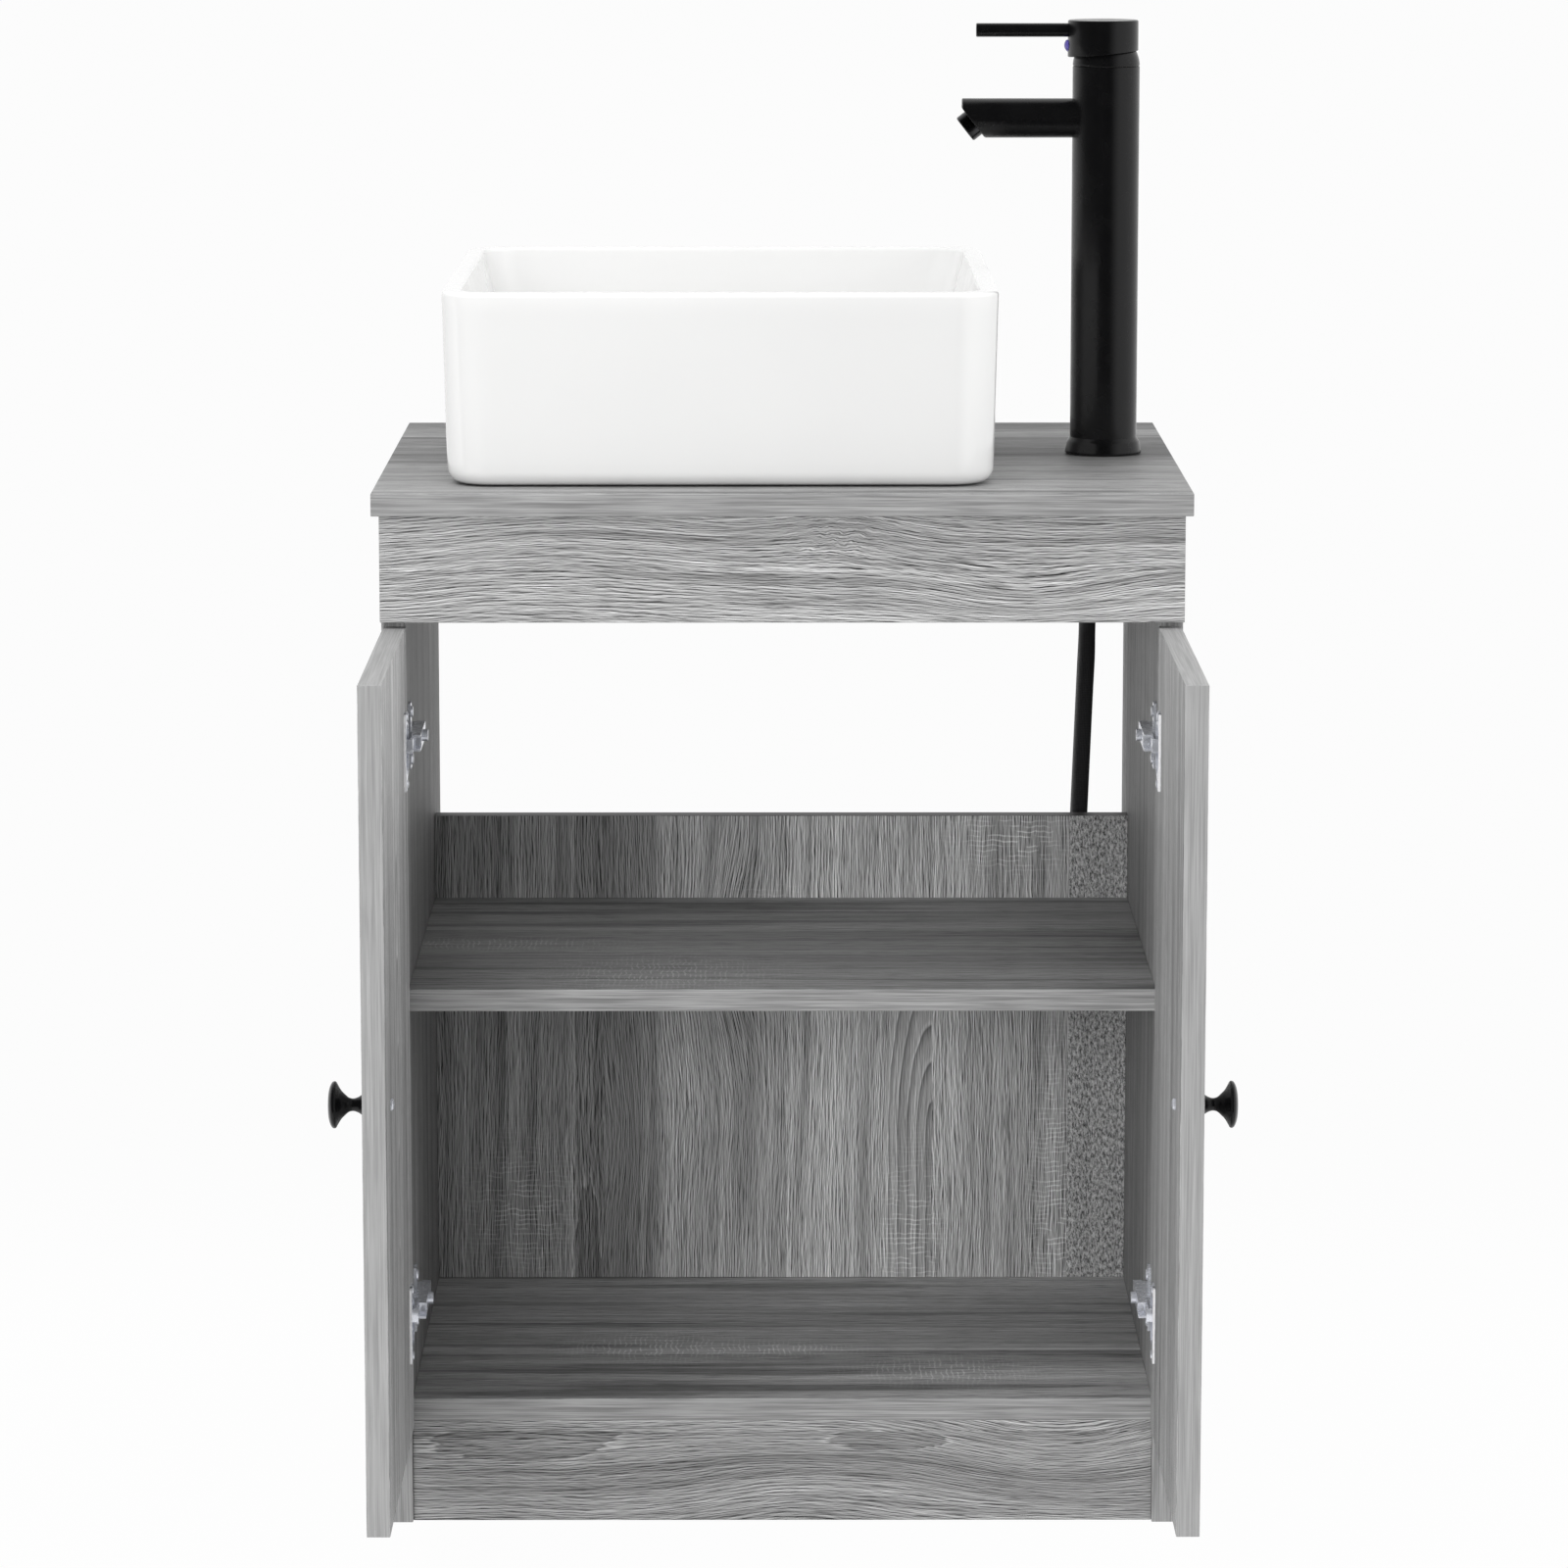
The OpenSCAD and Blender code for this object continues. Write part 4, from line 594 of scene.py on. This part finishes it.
band_light = banding("edge band", 0.34)
band_back = banding("back panel edge", 0.07)
X, Y, Z = 0, 1, 2
boards = {
    # node: (thickness axis, grain axis, which face shows, the print)
    "countertop": (Z, X, 1, dict(
        planks=[(0, 0.36, 0.1, 0.25), (0.075, 0.31, 0.3, 0.2), (0.165, 0.27, 0.5, 0.3),
                (0.20, 0.20, 0.55, 0.3), (0.27, 0.23, 0.7, 0.3), (0.34, 0.34, 0.9, 0.2),
                (0.39, 0.23, 0.2, 0.2)],
        # painted shade: the basin's and the tap's shadow on the countertop, a soft dark patch between them
        painted_shadows=[(0.49, 0.27, 0.08, 0.16, 0.64)], bands=(46.0, 0.62))),
    "side_left": (X, Z, 1, dict(
        planks=[(0, 0.34, 0.2, 0.3), (0.11, 0.31, 0.4, 0.2), (0.22, 0.36, 0.6, 0.4),
                (0.33, 0.33, 0.8, 0.2)])),
    "side_right": (X, Z, 0, dict(
        planks=[(0, 0.39, 0.3, 0.3), (0.13, 0.36, 0.5, 0.2), (0.21, 0.38, 0.7, 0.4),
                (0.35, 0.35, 0.9, 0.2)])),
    # painted light: these planks run paler from the front edge to the back, partly the print's own tone and
    # partly painted light that makes up for the light falling off deeper in the cabinet
    "floor_panel": (Z, X, 1, dict(
        planks=[(0, 0.30, 0.15, 0.2), (0.045, 0.34, 0.45, 0.25), (0.115, 0.46, 0.35, 0.2),
                (0.2, 0.53, 0.65, 0.25), (0.27, 0.62, 0.85, 0.2)],
        bands=(46.0, 0.50),
        saws=[(0.162, 0.135, 0.05, 0.03), (0.361, 0.072, 0.05, 0.03), (0.25, 0.13, 0.04, 0.015)])),
    "plinth_board": (Y, X, 0, dict(
        planks=[(0, 0.32, 0.55, 0.45), (0.0625, 0.34, 0.25, 0.2)],
        bends=[(0.44, 0.062, 0.085, 0.05, 0.022), (0.26, 0.02, 0.10, 0.04, -0.012)],
        islands=[(0.076, 0.0550, 0.068, 0.0125, 0.0625), (0.318, 0.0560, 0.040, 0.007, 0.0625)])),
    "apron_board": (Y, X, 0, dict(
        planks=[(0, 0.40, 0.35, 0.35), (0.0327, 0.43, 0.75, 0.30)],
        bends=[(0.303, 0.066, 0.055, 0.030, -0.009), (0.43, 0.016, 0.06, 0.02, 0.011),
               (0.12, 0.05, 0.12, 0.06, -0.013)],
        burls=[(0.303, 0.058, 0.036, 0.016)])),
    # painted light: these planks run paler from the front edge to the back, partly the print's own tone and
    # partly painted light that makes up for the light falling off deeper in the cabinet
    "middle_shelf": (Z, X, 1, dict(
        planks=[(0, 0.20, 0.85, 0.2), (0.035, 0.22, 0.65, 0.25), (0.12, 0.31, 0.25, 0.2),
                (0.21, 0.40, 0.95, 0.2), (0.28, 0.50, 0.05, 0.2)],
        bands=(46.0, 0.52),
        saws=[(0.17, 0.055, 0.06, 0.05), (0.05, 0.16, 0.07, 0.02)])),
    "back_panel": (Y, Z, 0, dict(
        planks=[(0, 0.35, 0.1, 0.3), (0.048, 0.37, 0.6, 0.3), (0.098, 0.23, 0.3, 0.4),
                (0.121, 0.28, 0.8, 0.4), (0.16, 0.48, 0.5, 0.4), (0.2525, 0.63, 0.2, 0.25),
                (0.33, 0.50, 0.9, 0.2), (0.359, 0.52, 0.4, 0.25), (0.43, 0.46, 0.7, 0.25),
                (0.458, 0.41, 0.0, 0.2)],
        bends=[(0.24, 0.21, 0.06, 0.03, 0.012), (0.10, 0.13, 0.09, 0.02, -0.008)],
        arches=[(0.361, 0.324, 0.359, 0.105, 0.23, 0.0068, 4.9)],
        islands=[(0.0, 0.110, 0.075, 0.011, 1.0)],
        saws=[(0.03, 0.345, 0.05, 0.016), (0.06, 0.45, 0.09, 0.014), (0.262, 0.235, 0.02, 0.03),
              (0.325, 0.42, 0.02, 0.035), (0.05, 0.06, 0.04, 0.03)],
        speckle=(0.458, 0.6))),
    "rear_rail": (Y, X, 0, dict(planks=[(0, 0.36, 0.5, 0.5)])),
}
fitted = {}
for node, (thick, grain, show, pattern) in boards.items():
    low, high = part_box(node)
    finish = [oak(node + " paper", **pattern), band_back if node == "back_panel" else band_light]
    board = slab(node + "_veneered", low, high, thick, grain, show, finish=finish)
    fit(board, node, "cabinet")
    fitted[node] = board

# each bore starts and ends just outside its board
tap_axis, tap_hole = (0.223, 0.208), 0.0175
waste_axis, waste_hole = (-0.041, 0.198), 0.0225
rail_z, screw_hole = 0.653, 0.00275
drill(fitted["countertop"], [((*axis, 0.685), (*axis, 0.706), radius)
                             for axis, radius in ((tap_axis, tap_hole), (waste_axis, waste_hole))])
drill(fitted["rear_rail"], [((x, 0.390, rail_z), (x, 0.410, rail_z), screw_hole) for x in (-0.18, 0.18)])

# Wood joints
# Beech dowels and zinc cam locks pull the boards together. Only the cams show, as small round heads
# let into the undersides of the floor and the shelf.
beech = shader("beech", (0.62, 0.47, 0.30), 0.6)
net = Net(beech)
where = net.split(net.place("Object"))
stripes = net.join(net.times(where[0], 900.0), net.times(where[1], 60.0), net.times(where[2], 900.0))
net.set("Base Color", net.mix(net.noise(stripes, dims="3D"), (0.50, 0.36, 0.21), (0.70, 0.55, 0.37)))
zinc = metal("zinc casting", (0.50, 0.51, 0.52), 0.42)

cam_profile = soften([
    (0, -0.0003), (0.0030, -0.0003), (0.0030, 0.0016), (0.0042, 0.0016), (0.0042, -0.0003),
    (0.0073, -0.0003), (0.0075, 0.0001), (0.0075, 0.008), (0, 0.008)], 0.0002, 2)
# four near each side panel, two under the floor and two under the shelf
for side, x in (("l", -0.226), ("r", 0.226)):
    for y in (0.0975, 0.2275):
        for z in (0.070, 0.352):
            name = "cam_%s%d_%d" % (side, round(y * 1000), round(z * 1000))
            cam = turned(name, cam_profile, (x, y, z), sides=32, finish=[zinc])
            fit(cam, "cam_locks", "cabinet")

# Doors
# Two plain slab doors of the same 15 mm board, swung out at right angles. Each has its hinge cups
# let into 35 mm bores near its hinge edge.
hands = (("left", -1), ("right", 1))
inner_face, outer_face = 0.2485, 0.2635
cup_y, cup_heights = -0.0363, {"lower": 0.147, "upper": 0.534}
cup_radius, cup_depth = 0.01755, 0.0116
door_planks = [(0, 0.46, 0.1, 0.3), (0.035, 0.42, 0.5, 0.35), (0.10, 0.47, 0.8, 0.4),
               (0.16, 0.43, 0.3, 0.3), (0.22, 0.46, 0.65, 0.3)]
door_paper_painted_light = {}
# painted light and shade: the same door print is scaled by 1.22 on the left door, painted paler, and by 0.94
# on the right, painted darker, to make up for the light each door's inner face gets
for side, share in (("left", 1.22), ("right", 0.94)):
    planks = [(at, tone * share, seed, sway) for at, tone, seed, sway in door_planks]
    door_paper_painted_light[side] = oak("door paper " + side, planks, arches=[(0.13, 0.10, 0.16, 0.10, 0.10, 0.0065, 4.5)])
band_door = banding("door edge band", 0.385, 0.55)
for side, sign in hands:
    low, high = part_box("door_" + side)
    door = slab("door_" + side + "_veneered", low, high, X, Z, show=int(side == "left"),
                shift=0.0 if side == "left" else 3.1, finish=[door_paper_painted_light[side], band_door])
    face = sign * inner_face
    drill(door, [((face - sign * 0.004, cup_y, z), (face + sign * cup_depth, cup_y, z), cup_radius)
                 for z in cup_heights.values()])
    fit(door, "door_" + side, side + "_door")

# Knobs
# Turned metal knobs in matt black. The foot sweeps into a thin neck, which flares to a wide shallow
# head. One screw holds each from behind.
matt_black = shader("matt black coat", (0.004, 0.004, 0.0043), 0.26, specular=0.3)
net = Net(matt_black)
where = net.place("Object")
peel = net.noise(where, 1500.0, dims="3D")
cloudy = net.noise(where, 60.0, dims="3D")
net.set("Roughness", net.span(cloudy, 0.3, 0.7, 0.23, 0.29))
net.set("Base Color", net.mix(cloudy, (0.0030, 0.0030, 0.0033), (0.0050, 0.0050, 0.0053)))
net.bump(peel, 0.12, 0.0002)

knob_y, knob_z = -0.2278, 0.337
knob_line = through(np.array([
    (8.5, 0.35), (7.6, 1.4), (6.2, 3.6), (4.9, 5.7), (4.05, 8.5), (4.6, 11.4), (6.9, 14.1), (9.3, 16.4),
    (12.6, 18.4), (14.4, 19.4), (15.0, 20.5), (14.3, 22.0), (11.6, 23.4), (8.0, 24.2), (4.0, 24.45),
    (0, 24.5)]) / 1000)
knob_line = np.vstack([[(0, 0), (0.0082, 0)], knob_line])
for side, sign in hands:
    knob = turned("knob_" + side + "_turned", knob_line, (sign * outer_face, knob_y, knob_z),
                  (sign, 0, 0), sides=80, sharp=60, finish=[matt_black])
    fit(knob, "knob_" + side, side + "_door")

# Hinges
# Nickel-plated concealed hinges, two to a door: a pressed cup and flange in the door, and an arm
# that is screwed to a plate on the side panel.


def break_edges(piece, width, segments=1):
    """Bevels the edges at which a piece's faces turn by more than 40 degrees."""
    bevel = piece.modifiers.new("broken edges", "BEVEL")
    bevel.width, bevel.segments = width, segments
    bevel.limit_method, bevel.angle_limit = "ANGLE", math.radians(40)


def dressed(node, body):
    """A plated copy of a frame node, its doubled points merged, its flat faces joined and its edges
    broken."""
    mesh = bpy.data.objects[node].data.copy()
    work = bmesh.new()
    work.from_mesh(mesh)
    bmesh.ops.remove_doubles(work, verts=work.verts, dist=1e-6)
    bmesh.ops.dissolve_limit(work, angle_limit=math.radians(0.6), verts=work.verts, edges=work.edges)
    work.to_mesh(mesh)
    work.free()
    mesh.polygons.foreach_set("use_smooth", np.ones(len(mesh.polygons), bool))
    mesh.set_sharp_from_angle(angle=math.radians(30))
    mesh.materials.clear()
    mesh.materials.append(plate_nickel)
    piece = bpy.data.objects.new(node + "_finished", mesh)
    bpy.context.collection.objects.link(piece)
    break_edges(piece, 0.00025, 2)
    fit(piece, node, body)


def lip(name, place, sign, **more):
    """The straight free edge of a cup's flange, pressed 1.7 mm proud of the door. At the height z it runs
    from max(9.5, sqrt(16.6^2 - z^2)) to 18.5 mm off the cup's middle."""
    z = np.linspace(-25.5, 25.5, 69)[:, None]
    inner = np.maximum(9.5, np.sqrt(np.maximum(0.0, 16.6**2 - z**2)))
    outer, low, top = 0 * z + 18.5, 0 * z, 0 * z + 1.7
    off, out = np.hstack([inner, outer, outer, inner]), np.hstack([low, low, top, top])
    rows = place + np.stack([-sign * out, -off, np.hstack([z] * 4)], -1)[:, ::-sign] / 1000
    ends = [np.repeat(rows[i].mean(0)[None, None], 4, 1) for i in (0, -1)]
    rows = np.concatenate([ends[0], rows, ends[1]])
    return put(name, rows, quads(len(rows), 4), slots=np.tile([0, 1, 0, 0], len(rows) - 1), sharp=30, **more)


plate_nickel = metal("hinge plating", (0.84, 0.86, 0.92), 0.24, gloss=0.62)
# painted highlight: the outer edge of each hinge flange is painted near white, the glint of light along the
# plated edge
flange_edge_highlight = metal("painted highlight edge", (0.97, 0.97, 0.99), 0.3, gloss=0.1)
for side, sign in hands:
    for level, height in cup_heights.items():
        edge = lip("hinge_lip_" + side + "_" + level, (sign * inner_face, cup_y, height), sign,
                   finish=[plate_nickel, flange_edge_highlight])
        break_edges(edge, 0.0002)
        fit(edge, "hinge_cups_" + side, side + "_door")
for side in ("left", "right"):
    for part in ("hinge_cups_", "cup_screws_", "knob_screw_"):
        dressed(part + side, side + "_door")
    dressed("hinge_arms_" + side, "cabinet")
for part in ("hinge_plates", "plate_screws", "adjusting_screws"):
    dressed(part, "cabinet")

# Basin
# A glazed white ceramic vessel with upright walls and soft corners. It stands on the countertop on a
# thin washer, and its bowl narrows to a flat floor round the waste.


def rounded_ring(width, depth, corner, steps=14):
    """Points of a rectangle with round corners: corner centre + corner * (cos a, sin a)."""
    a = np.radians(np.linspace(0, 90, steps + 1))[None, :] + np.radians([0, 90, 180, 270])[:, None]
    x = np.array([1, -1, -1, 1])[:, None] * (width / 2 - corner) + corner * np.cos(a)
    y = np.array([1, 1, -1, -1])[:, None] * (depth / 2 - corner) + corner * np.sin(a)
    return x.ravel(), y.ravel()


def row(x, y, z):
    """One row of a grid, from its x, y and z: each is an array, or one number for the whole row."""
    return np.column_stack(np.broadcast_arrays(x, y, z))


width, depth, tall, foot_z = 0.369, 0.400, 0.128, 0.7038
draft, wall, taper, corner, bowl_corner = 0.003, 0.013, 0.022, 0.030, 0.0235
foot, rim, bowl_fillet, bowl_floor, bowl_foot = 0.010, 0.0035, 0.030, 0.016, 0.046
arc = np.radians(np.linspace(0, 90, 7))
# each level is (height, how far inside the outer size, corner radius), up the outside and down the bowl
levels = [(foot * (1 - math.cos(a)), draft + foot * (1 - math.sin(a)), corner - foot * (1 - math.sin(a)))
          for a in arc]
levels += [(z, draft * (1 - z / tall), corner) for z in np.linspace(0.02, 0.115, 6)]
levels += [(tall - rim + rim * math.sin(a), rim * (1 - math.cos(a)), corner - rim * (1 - math.cos(a)))
           for a in arc]
levels += [(tall - rim + rim * math.sin(a), wall - rim * (1 - math.cos(a)),
            bowl_corner + rim * (1 - math.cos(a))) for a in arc[::-1]]
levels += [(z, wall + taper * (tall - rim - z) / (tall - rim - bowl_foot), bowl_corner)
           for z in np.linspace(0.11, 0.055, 5)]
levels += [(bowl_floor + bowl_fillet * (1 - math.cos(a)), wall + taper + bowl_fillet * (1 - math.sin(a)),
            bowl_corner + 0.4 * bowl_fillet * (1 - math.sin(a))) for a in arc[::-1]]
rings = [row(*rounded_ring(width - 2 * inset, depth - 2 * inset, turn), z) for z, inset, turn in levels]
angle = np.arctan2(rings[-1][:, 1], rings[-1][:, 0])
hole = waste_hole * np.stack([np.cos(angle), np.sin(angle)])
floor_line = [(1 - f) * rings[-1] + f * row(*hole, bowl_floor) for f in (0.25, 0.5, 0.75, 0.97, 1.0)]
down = [row(*hole, z) for z in (0.0155, 0.0)]
basin_points = np.array(rings + floor_line + down + [rings[0]]) + (*waste_axis, foot_z)
glaze = shader("white glaze", (0.855, 0.855, 0.85), 0.12)
net = Net(glaze)
net.surface.inputs["Coat Weight"].default_value = 0.5
net.surface.inputs["Coat Roughness"].default_value = 0.05
where = net.place("Object")
soft = net.noise(where, 9.0, dims="3D")
net.set("Base Color", net.mix(soft, (0.835, 0.835, 0.83), (0.865, 0.865, 0.86)))
net.set("Roughness", net.span(net.noise(where, 30.0, dims="3D"), 0.3, 0.7, 0.09, 0.15))
net.bump(net.noise(where, 26.0, 1.0, dims="3D"), 0.03, 0.001)
basin = put("basin_glazed", basin_points, quads(len(basin_points), len(angle)), sharp=70, finish=[glaze])
fit(basin, "basin", "cabinet")

# Basin waste
# A chromed brass flange in the bowl is screwed into a threaded tube, which one large nut clamps
# under the countertop. The domed cap lifts on its stem.
chrome = metal("chrome", (0.72, 0.73, 0.75), 0.10, 0.03)
waste_at, nut_at = (*waste_axis, 0.7198), (*waste_axis, 0.678)
flange_line = soften([
    (0.0158, 0.0), (0.031, 0.0), (0.032, 0.0006), (0.0292, 0.0021), (0.026, 0.0025), (0.0175, 0.0025),
    (0.0158, 0.0018), (0.0158, 0.0)], 0.0004)
flange = turned("waste_flange_turned", flange_line, waste_at, finish=[chrome])
fit(flange, "waste_flange", "cabinet")
cap_line = through(np.array([
    (0, 2.8), (27, 2.8), (28.6, 3.2), (29, 3.9), (29, 4.7), (28.2, 5.5), (25.5, 6.3), (20, 6.9),
    (14.5, 7.25), (7, 7.5), (0, 7.6)]) / 1000, 4)
cap = turned("waste_cap_domed", cap_line, waste_at, sharp=60, finish=[chrome])
fit(cap, "waste_cap", "waste_cap")
stem_line = soften([(0, -0.0312), (0.004, -0.0312), (0.004, 0.0035), (0, 0.0035)], 0.0006)
stem = turned("waste_cap_stem", stem_line, waste_at, sides=48, finish=[chrome])
fit(stem, "waste_cap", "waste_cap")
# the thread's crests and grooves, in turn
crest, groove, first, step = 0.02095, 0.0006, 0.6235, 0.00155
ridge = np.arange(33)
threads = np.column_stack([crest - groove * (ridge % 2), first + step * ridge])
tail_line = np.vstack([[(0.0175, 0.623), (0.0205, 0.623)], threads, [
    (0.0217, 0.676), (0.0217, 0.7197), (0.0175, 0.7197), (0.0175, 0.623)]])
tail = turned("waste_tail_threaded", tail_line, (*waste_axis, 0), sharp=20, finish=[zinc])
fit(tail, "waste_body", "cabinet")
hexagon = turned("waste_nut_hexagon", [
    (0.0218, 0.0), (0.0295, 0.0), (0.0305, 0.001), (0.0305, 0.0078), (0.0218, 0.0078), (0.0218, 0.0)],
    nut_at, sides=6, sharp=20, finish=[zinc])
hexagon.modifiers.new("broken edges", "BEVEL").width = 0.0005
flare_line = soften([
    (0.0218, 0.0078), (0.0330, 0.0078), (0.0335, 0.0083), (0.0335, 0.0098), (0.0218, 0.0098),
    (0.0218, 0.0078)], 0.0003)
flare = turned("waste_nut_flange", flare_line, nut_at, finish=[zinc])
for piece in (hexagon, flare):
    fit(piece, "waste_nut", "cabinet")

# Tap
# A tall single-lever mixer in matt black: a plain column on a flared ring, bored on top for the
# cartridge, a straight spout with a slanted outlet, and a round shoulder that the head tilts over.
foot_at, spout_at, seam = (*tap_axis, 0.703), (*tap_axis, 0.9345), np.array([*tap_axis, 0.970])
sides = 128
column_line = soften([(0, 0.0008), (0.023, 0.0008), (0.023, 0.267), (0.0176, 0.267), (0.0176, 0.240),
                      (0, 0.240)], 0.0005)
column = turned("tap_column", column_line, foot_at, sides=sides, finish=[matt_black])
fit(column, "tap_body", "cabinet")
ring_line = soften([
    (0.0229, 0.0008), (0.0264, 0.0008), (0.0264, 0.0021), (0.0250, 0.0088), (0.0241, 0.0101),
    (0.0234, 0.0112), (0.02315, 0.0118), (0.0229, 0.0118), (0.0229, 0.0008)], 0.0005)
ring = turned("tap_foot_ring", ring_line, foot_at, sides=sides, finish=[matt_black])
fit(ring, "tap_base_ring", "cabinet")
dome_out, dome_in = 0.023, 0.021
turn = np.radians(np.linspace(2.5, 34.3, 14))
back = turn[::-1] * 0.72
shoulder = np.vstack([
    [(dome_in, 0.0003), (0.0226, 0.0003)],
    np.column_stack([dome_out * np.cos(turn), dome_out * np.sin(turn)]),
    np.column_stack([dome_in * np.cos(back), dome_in * np.sin(back)]), [(dome_in, 0.0003)]])
dome = turned("tap_shoulder", shoulder, seam, sides=sides, sharp=40, finish=[matt_black])
fit(dome, "tap_dome", "cabinet")

root, reach, spout_r, edge = 0.018, 0.099, 0.0135, 0.0008
slant = math.radians(38)
slope = math.tan(slant)


def spout_end(z):
    """How far out the spout's end lies at height z: its reach, or the slanted outlet's plane below."""
    return reach - np.clip(spout_r / 2 - z, 0, None) * slope


t = np.linspace(0, 2 * math.pi, sides, endpoint=False)
rows = [row(root, 0 * t, 0)]
for out in (root, 0.04, 0.06):
    rows.append(row(out, spout_r * np.sin(t), spout_r * np.cos(t)))
for a in np.radians([0, 22, 45, 67, 90]):
    share = 1 - edge / spout_r * (1 - math.cos(a))
    z = spout_r * share * np.cos(t)
    rows.append(row(spout_end(z) - edge * (1 - math.sin(a)), spout_r * share * np.sin(t), z))
for share in (0.75, 0.5, 0.25, 0.0):
    z = spout_r * share * np.cos(t)
    rows.append(row(spout_end(z), spout_r * share * np.sin(t), z))
rows = np.array(rows) * (-1, 1, 1) + spout_at
spout = put("spout_bar", rows, quads(len(rows), sides), sharp=30, finish=[matt_black])
fit(spout, "spout", "cabinet")

run = (spout_r / 2 + spout_r) * slope
outlet = (spout_at[0] - (reach - run / 2), spout_at[1], spout_at[2] - spout_r / 4)
facing = (-math.cos(slant), 0, -math.sin(slant))
dark_chrome = metal("dark chrome", (0.06, 0.06, 0.063), 0.22)
sieve_line = soften([
    (0, -0.002), (0.0095, -0.002), (0.0098, 0.0), (0.0098, 0.0066), (0.0092, 0.0074), (0.0080, 0.0074),
    (0.0078, 0.0050), (0.0066, 0.0046), (0.0062, 0.0058), (0.0050, 0.0058), (0.0046, 0.0046),
    (0.0030, 0.0046), (0.0026, 0.0058), (0.0010, 0.0058), (0, 0.0056)], 0.0002, 2)
sieve = turned("aerator_turned", sieve_line, outlet, facing, sides=64, finish=[dark_chrome])
fit(sieve, "aerator", "cabinet")

# Tap handle
# A wide round head whose lower edge slants, with a thin round lever and a small coloured button. Its
# hollow rides over the shoulder.
head_r, off, top, socket = 0.0242, 0.0023, 0.0315, 0.0233
left_low, right_low, hollow_r = 0.0063, 0.0108, 0.02172
tilt = (right_low - left_low) / (2 * head_r)


def head_low(x):
    """Height of the head's slanted lower edge above the seam, x from the tap's axis."""
    return (left_low + right_low) / 2 + (x + off) * tilt


rows = []
for polar in np.radians([0, 15, 30, 45, 58]):
    r = socket * math.sin(polar)
    rows.append(row(r * np.cos(t), r * np.sin(t), socket * math.cos(polar)))
rows.append(row(hollow_r * np.cos(t), hollow_r * np.sin(t), head_low(hollow_r * np.cos(t))))
edge = 0.0005
for a in np.radians([0, 45, 90]):
    r = head_r - edge * (1 - math.sin(a))
    x = r * np.cos(t) - off
    rows.append(row(x, r * np.sin(t), head_low(x) + edge * (1 - math.cos(a))))
for z in (0.016, 0.024):
    rows.append(row(head_r * np.cos(t) - off, head_r * np.sin(t), z))
edge = 0.0011
for a in np.radians([0, 22, 45, 67, 90]):
    r = head_r - edge * (1 - math.cos(a))
    rows.append(row(r * np.cos(t) - off, r * np.sin(t), top - edge * (1 - math.sin(a))))
for r in (0.016, 0.008, 0.0):
    rows.append(row(r * np.cos(t) - off, r * np.sin(t), top))
head = put("tap_head_hollow", np.array(rows) + seam, quads(len(rows), sides), sharp=35, finish=[matt_black])
fit(head, "tap_head", "tap_handle")
lever_line = soften([(0, 0), (0.0047, 0), (0.0047, 0.0725), (0, 0.0725)], 0.0009)
lever = turned("lever_bar", lever_line, seam + (-0.017, 0, 0.0246), (-1, 0, 0), sides=64, finish=[matt_black])
fit(lever, "lever_rod", "tap_handle")


def mottled(name, colour, rough, scale, dark, pale):
    """A plain finish whose colour drifts between a dark and a pale tone, by noise on Object coordinates."""
    material = shader(name, colour, rough)
    net = Net(material)
    net.set("Base Color", net.mix(net.noise(net.place("Object"), scale, dims="3D"), dark, pale))
    return material


violet = mottled("violet button", (0.10, 0.08, 0.34), 0.2, 400.0, (0.085, 0.07, 0.30), (0.12, 0.095, 0.38))
button_r, crown, lean = 0.0045, 0.0024, math.radians(15)
ball = (button_r**2 + crown**2) / (2 * crown)
lid = np.radians(np.linspace(0, math.degrees(math.asin(button_r / ball)), 8))[::-1]
button_line = np.vstack([[(0, -0.002), (button_r, -0.002)],
                         np.column_stack([ball * np.sin(lid), crown - ball * (1 - np.cos(lid))])])
button = turned("button_domed", button_line, seam + (-off - head_r, 0, 0.0135),
                (-math.cos(lean), 0, -math.sin(lean)), sides=48, sharp=60, finish=[violet])
fit(button, "indicator", "tap_handle")

# Hidden fixings
# What the boards, the basin and the tap hide keeps the frame's plain shape, in its own finish.
plastic = mottled("cartridge plastic", (0.70, 0.70, 0.66), 0.45, 300.0, (0.66, 0.66, 0.62),
                  (0.74, 0.74, 0.70))
seals = mottled("gasket rubber", (0.02,) * 3, 0.7, 500.0, (0.015,) * 3, (0.03,) * 3)
hidden = {
    "dowels": beech, "cam_bolts": zinc, "hinge_pins_left": nickel, "hinge_pins_right": nickel,
    "waste_gasket": seals, "tap_gasket": seals, "cartridge": plastic, "cartridge_nut": brass,
    "spindle": brass, "lever_stem": zinc, "stem_pin": zinc, "grub_screw": zinc, "mounting_stud": zinc,
    "clamp_washer": zinc, "mounting_nut": nickel, "hose_sleeves": nickel,
}
for node, material in hidden.items():
    mesh = bpy.data.objects[node].data
    mesh.materials.clear()
    mesh.materials.append(material)
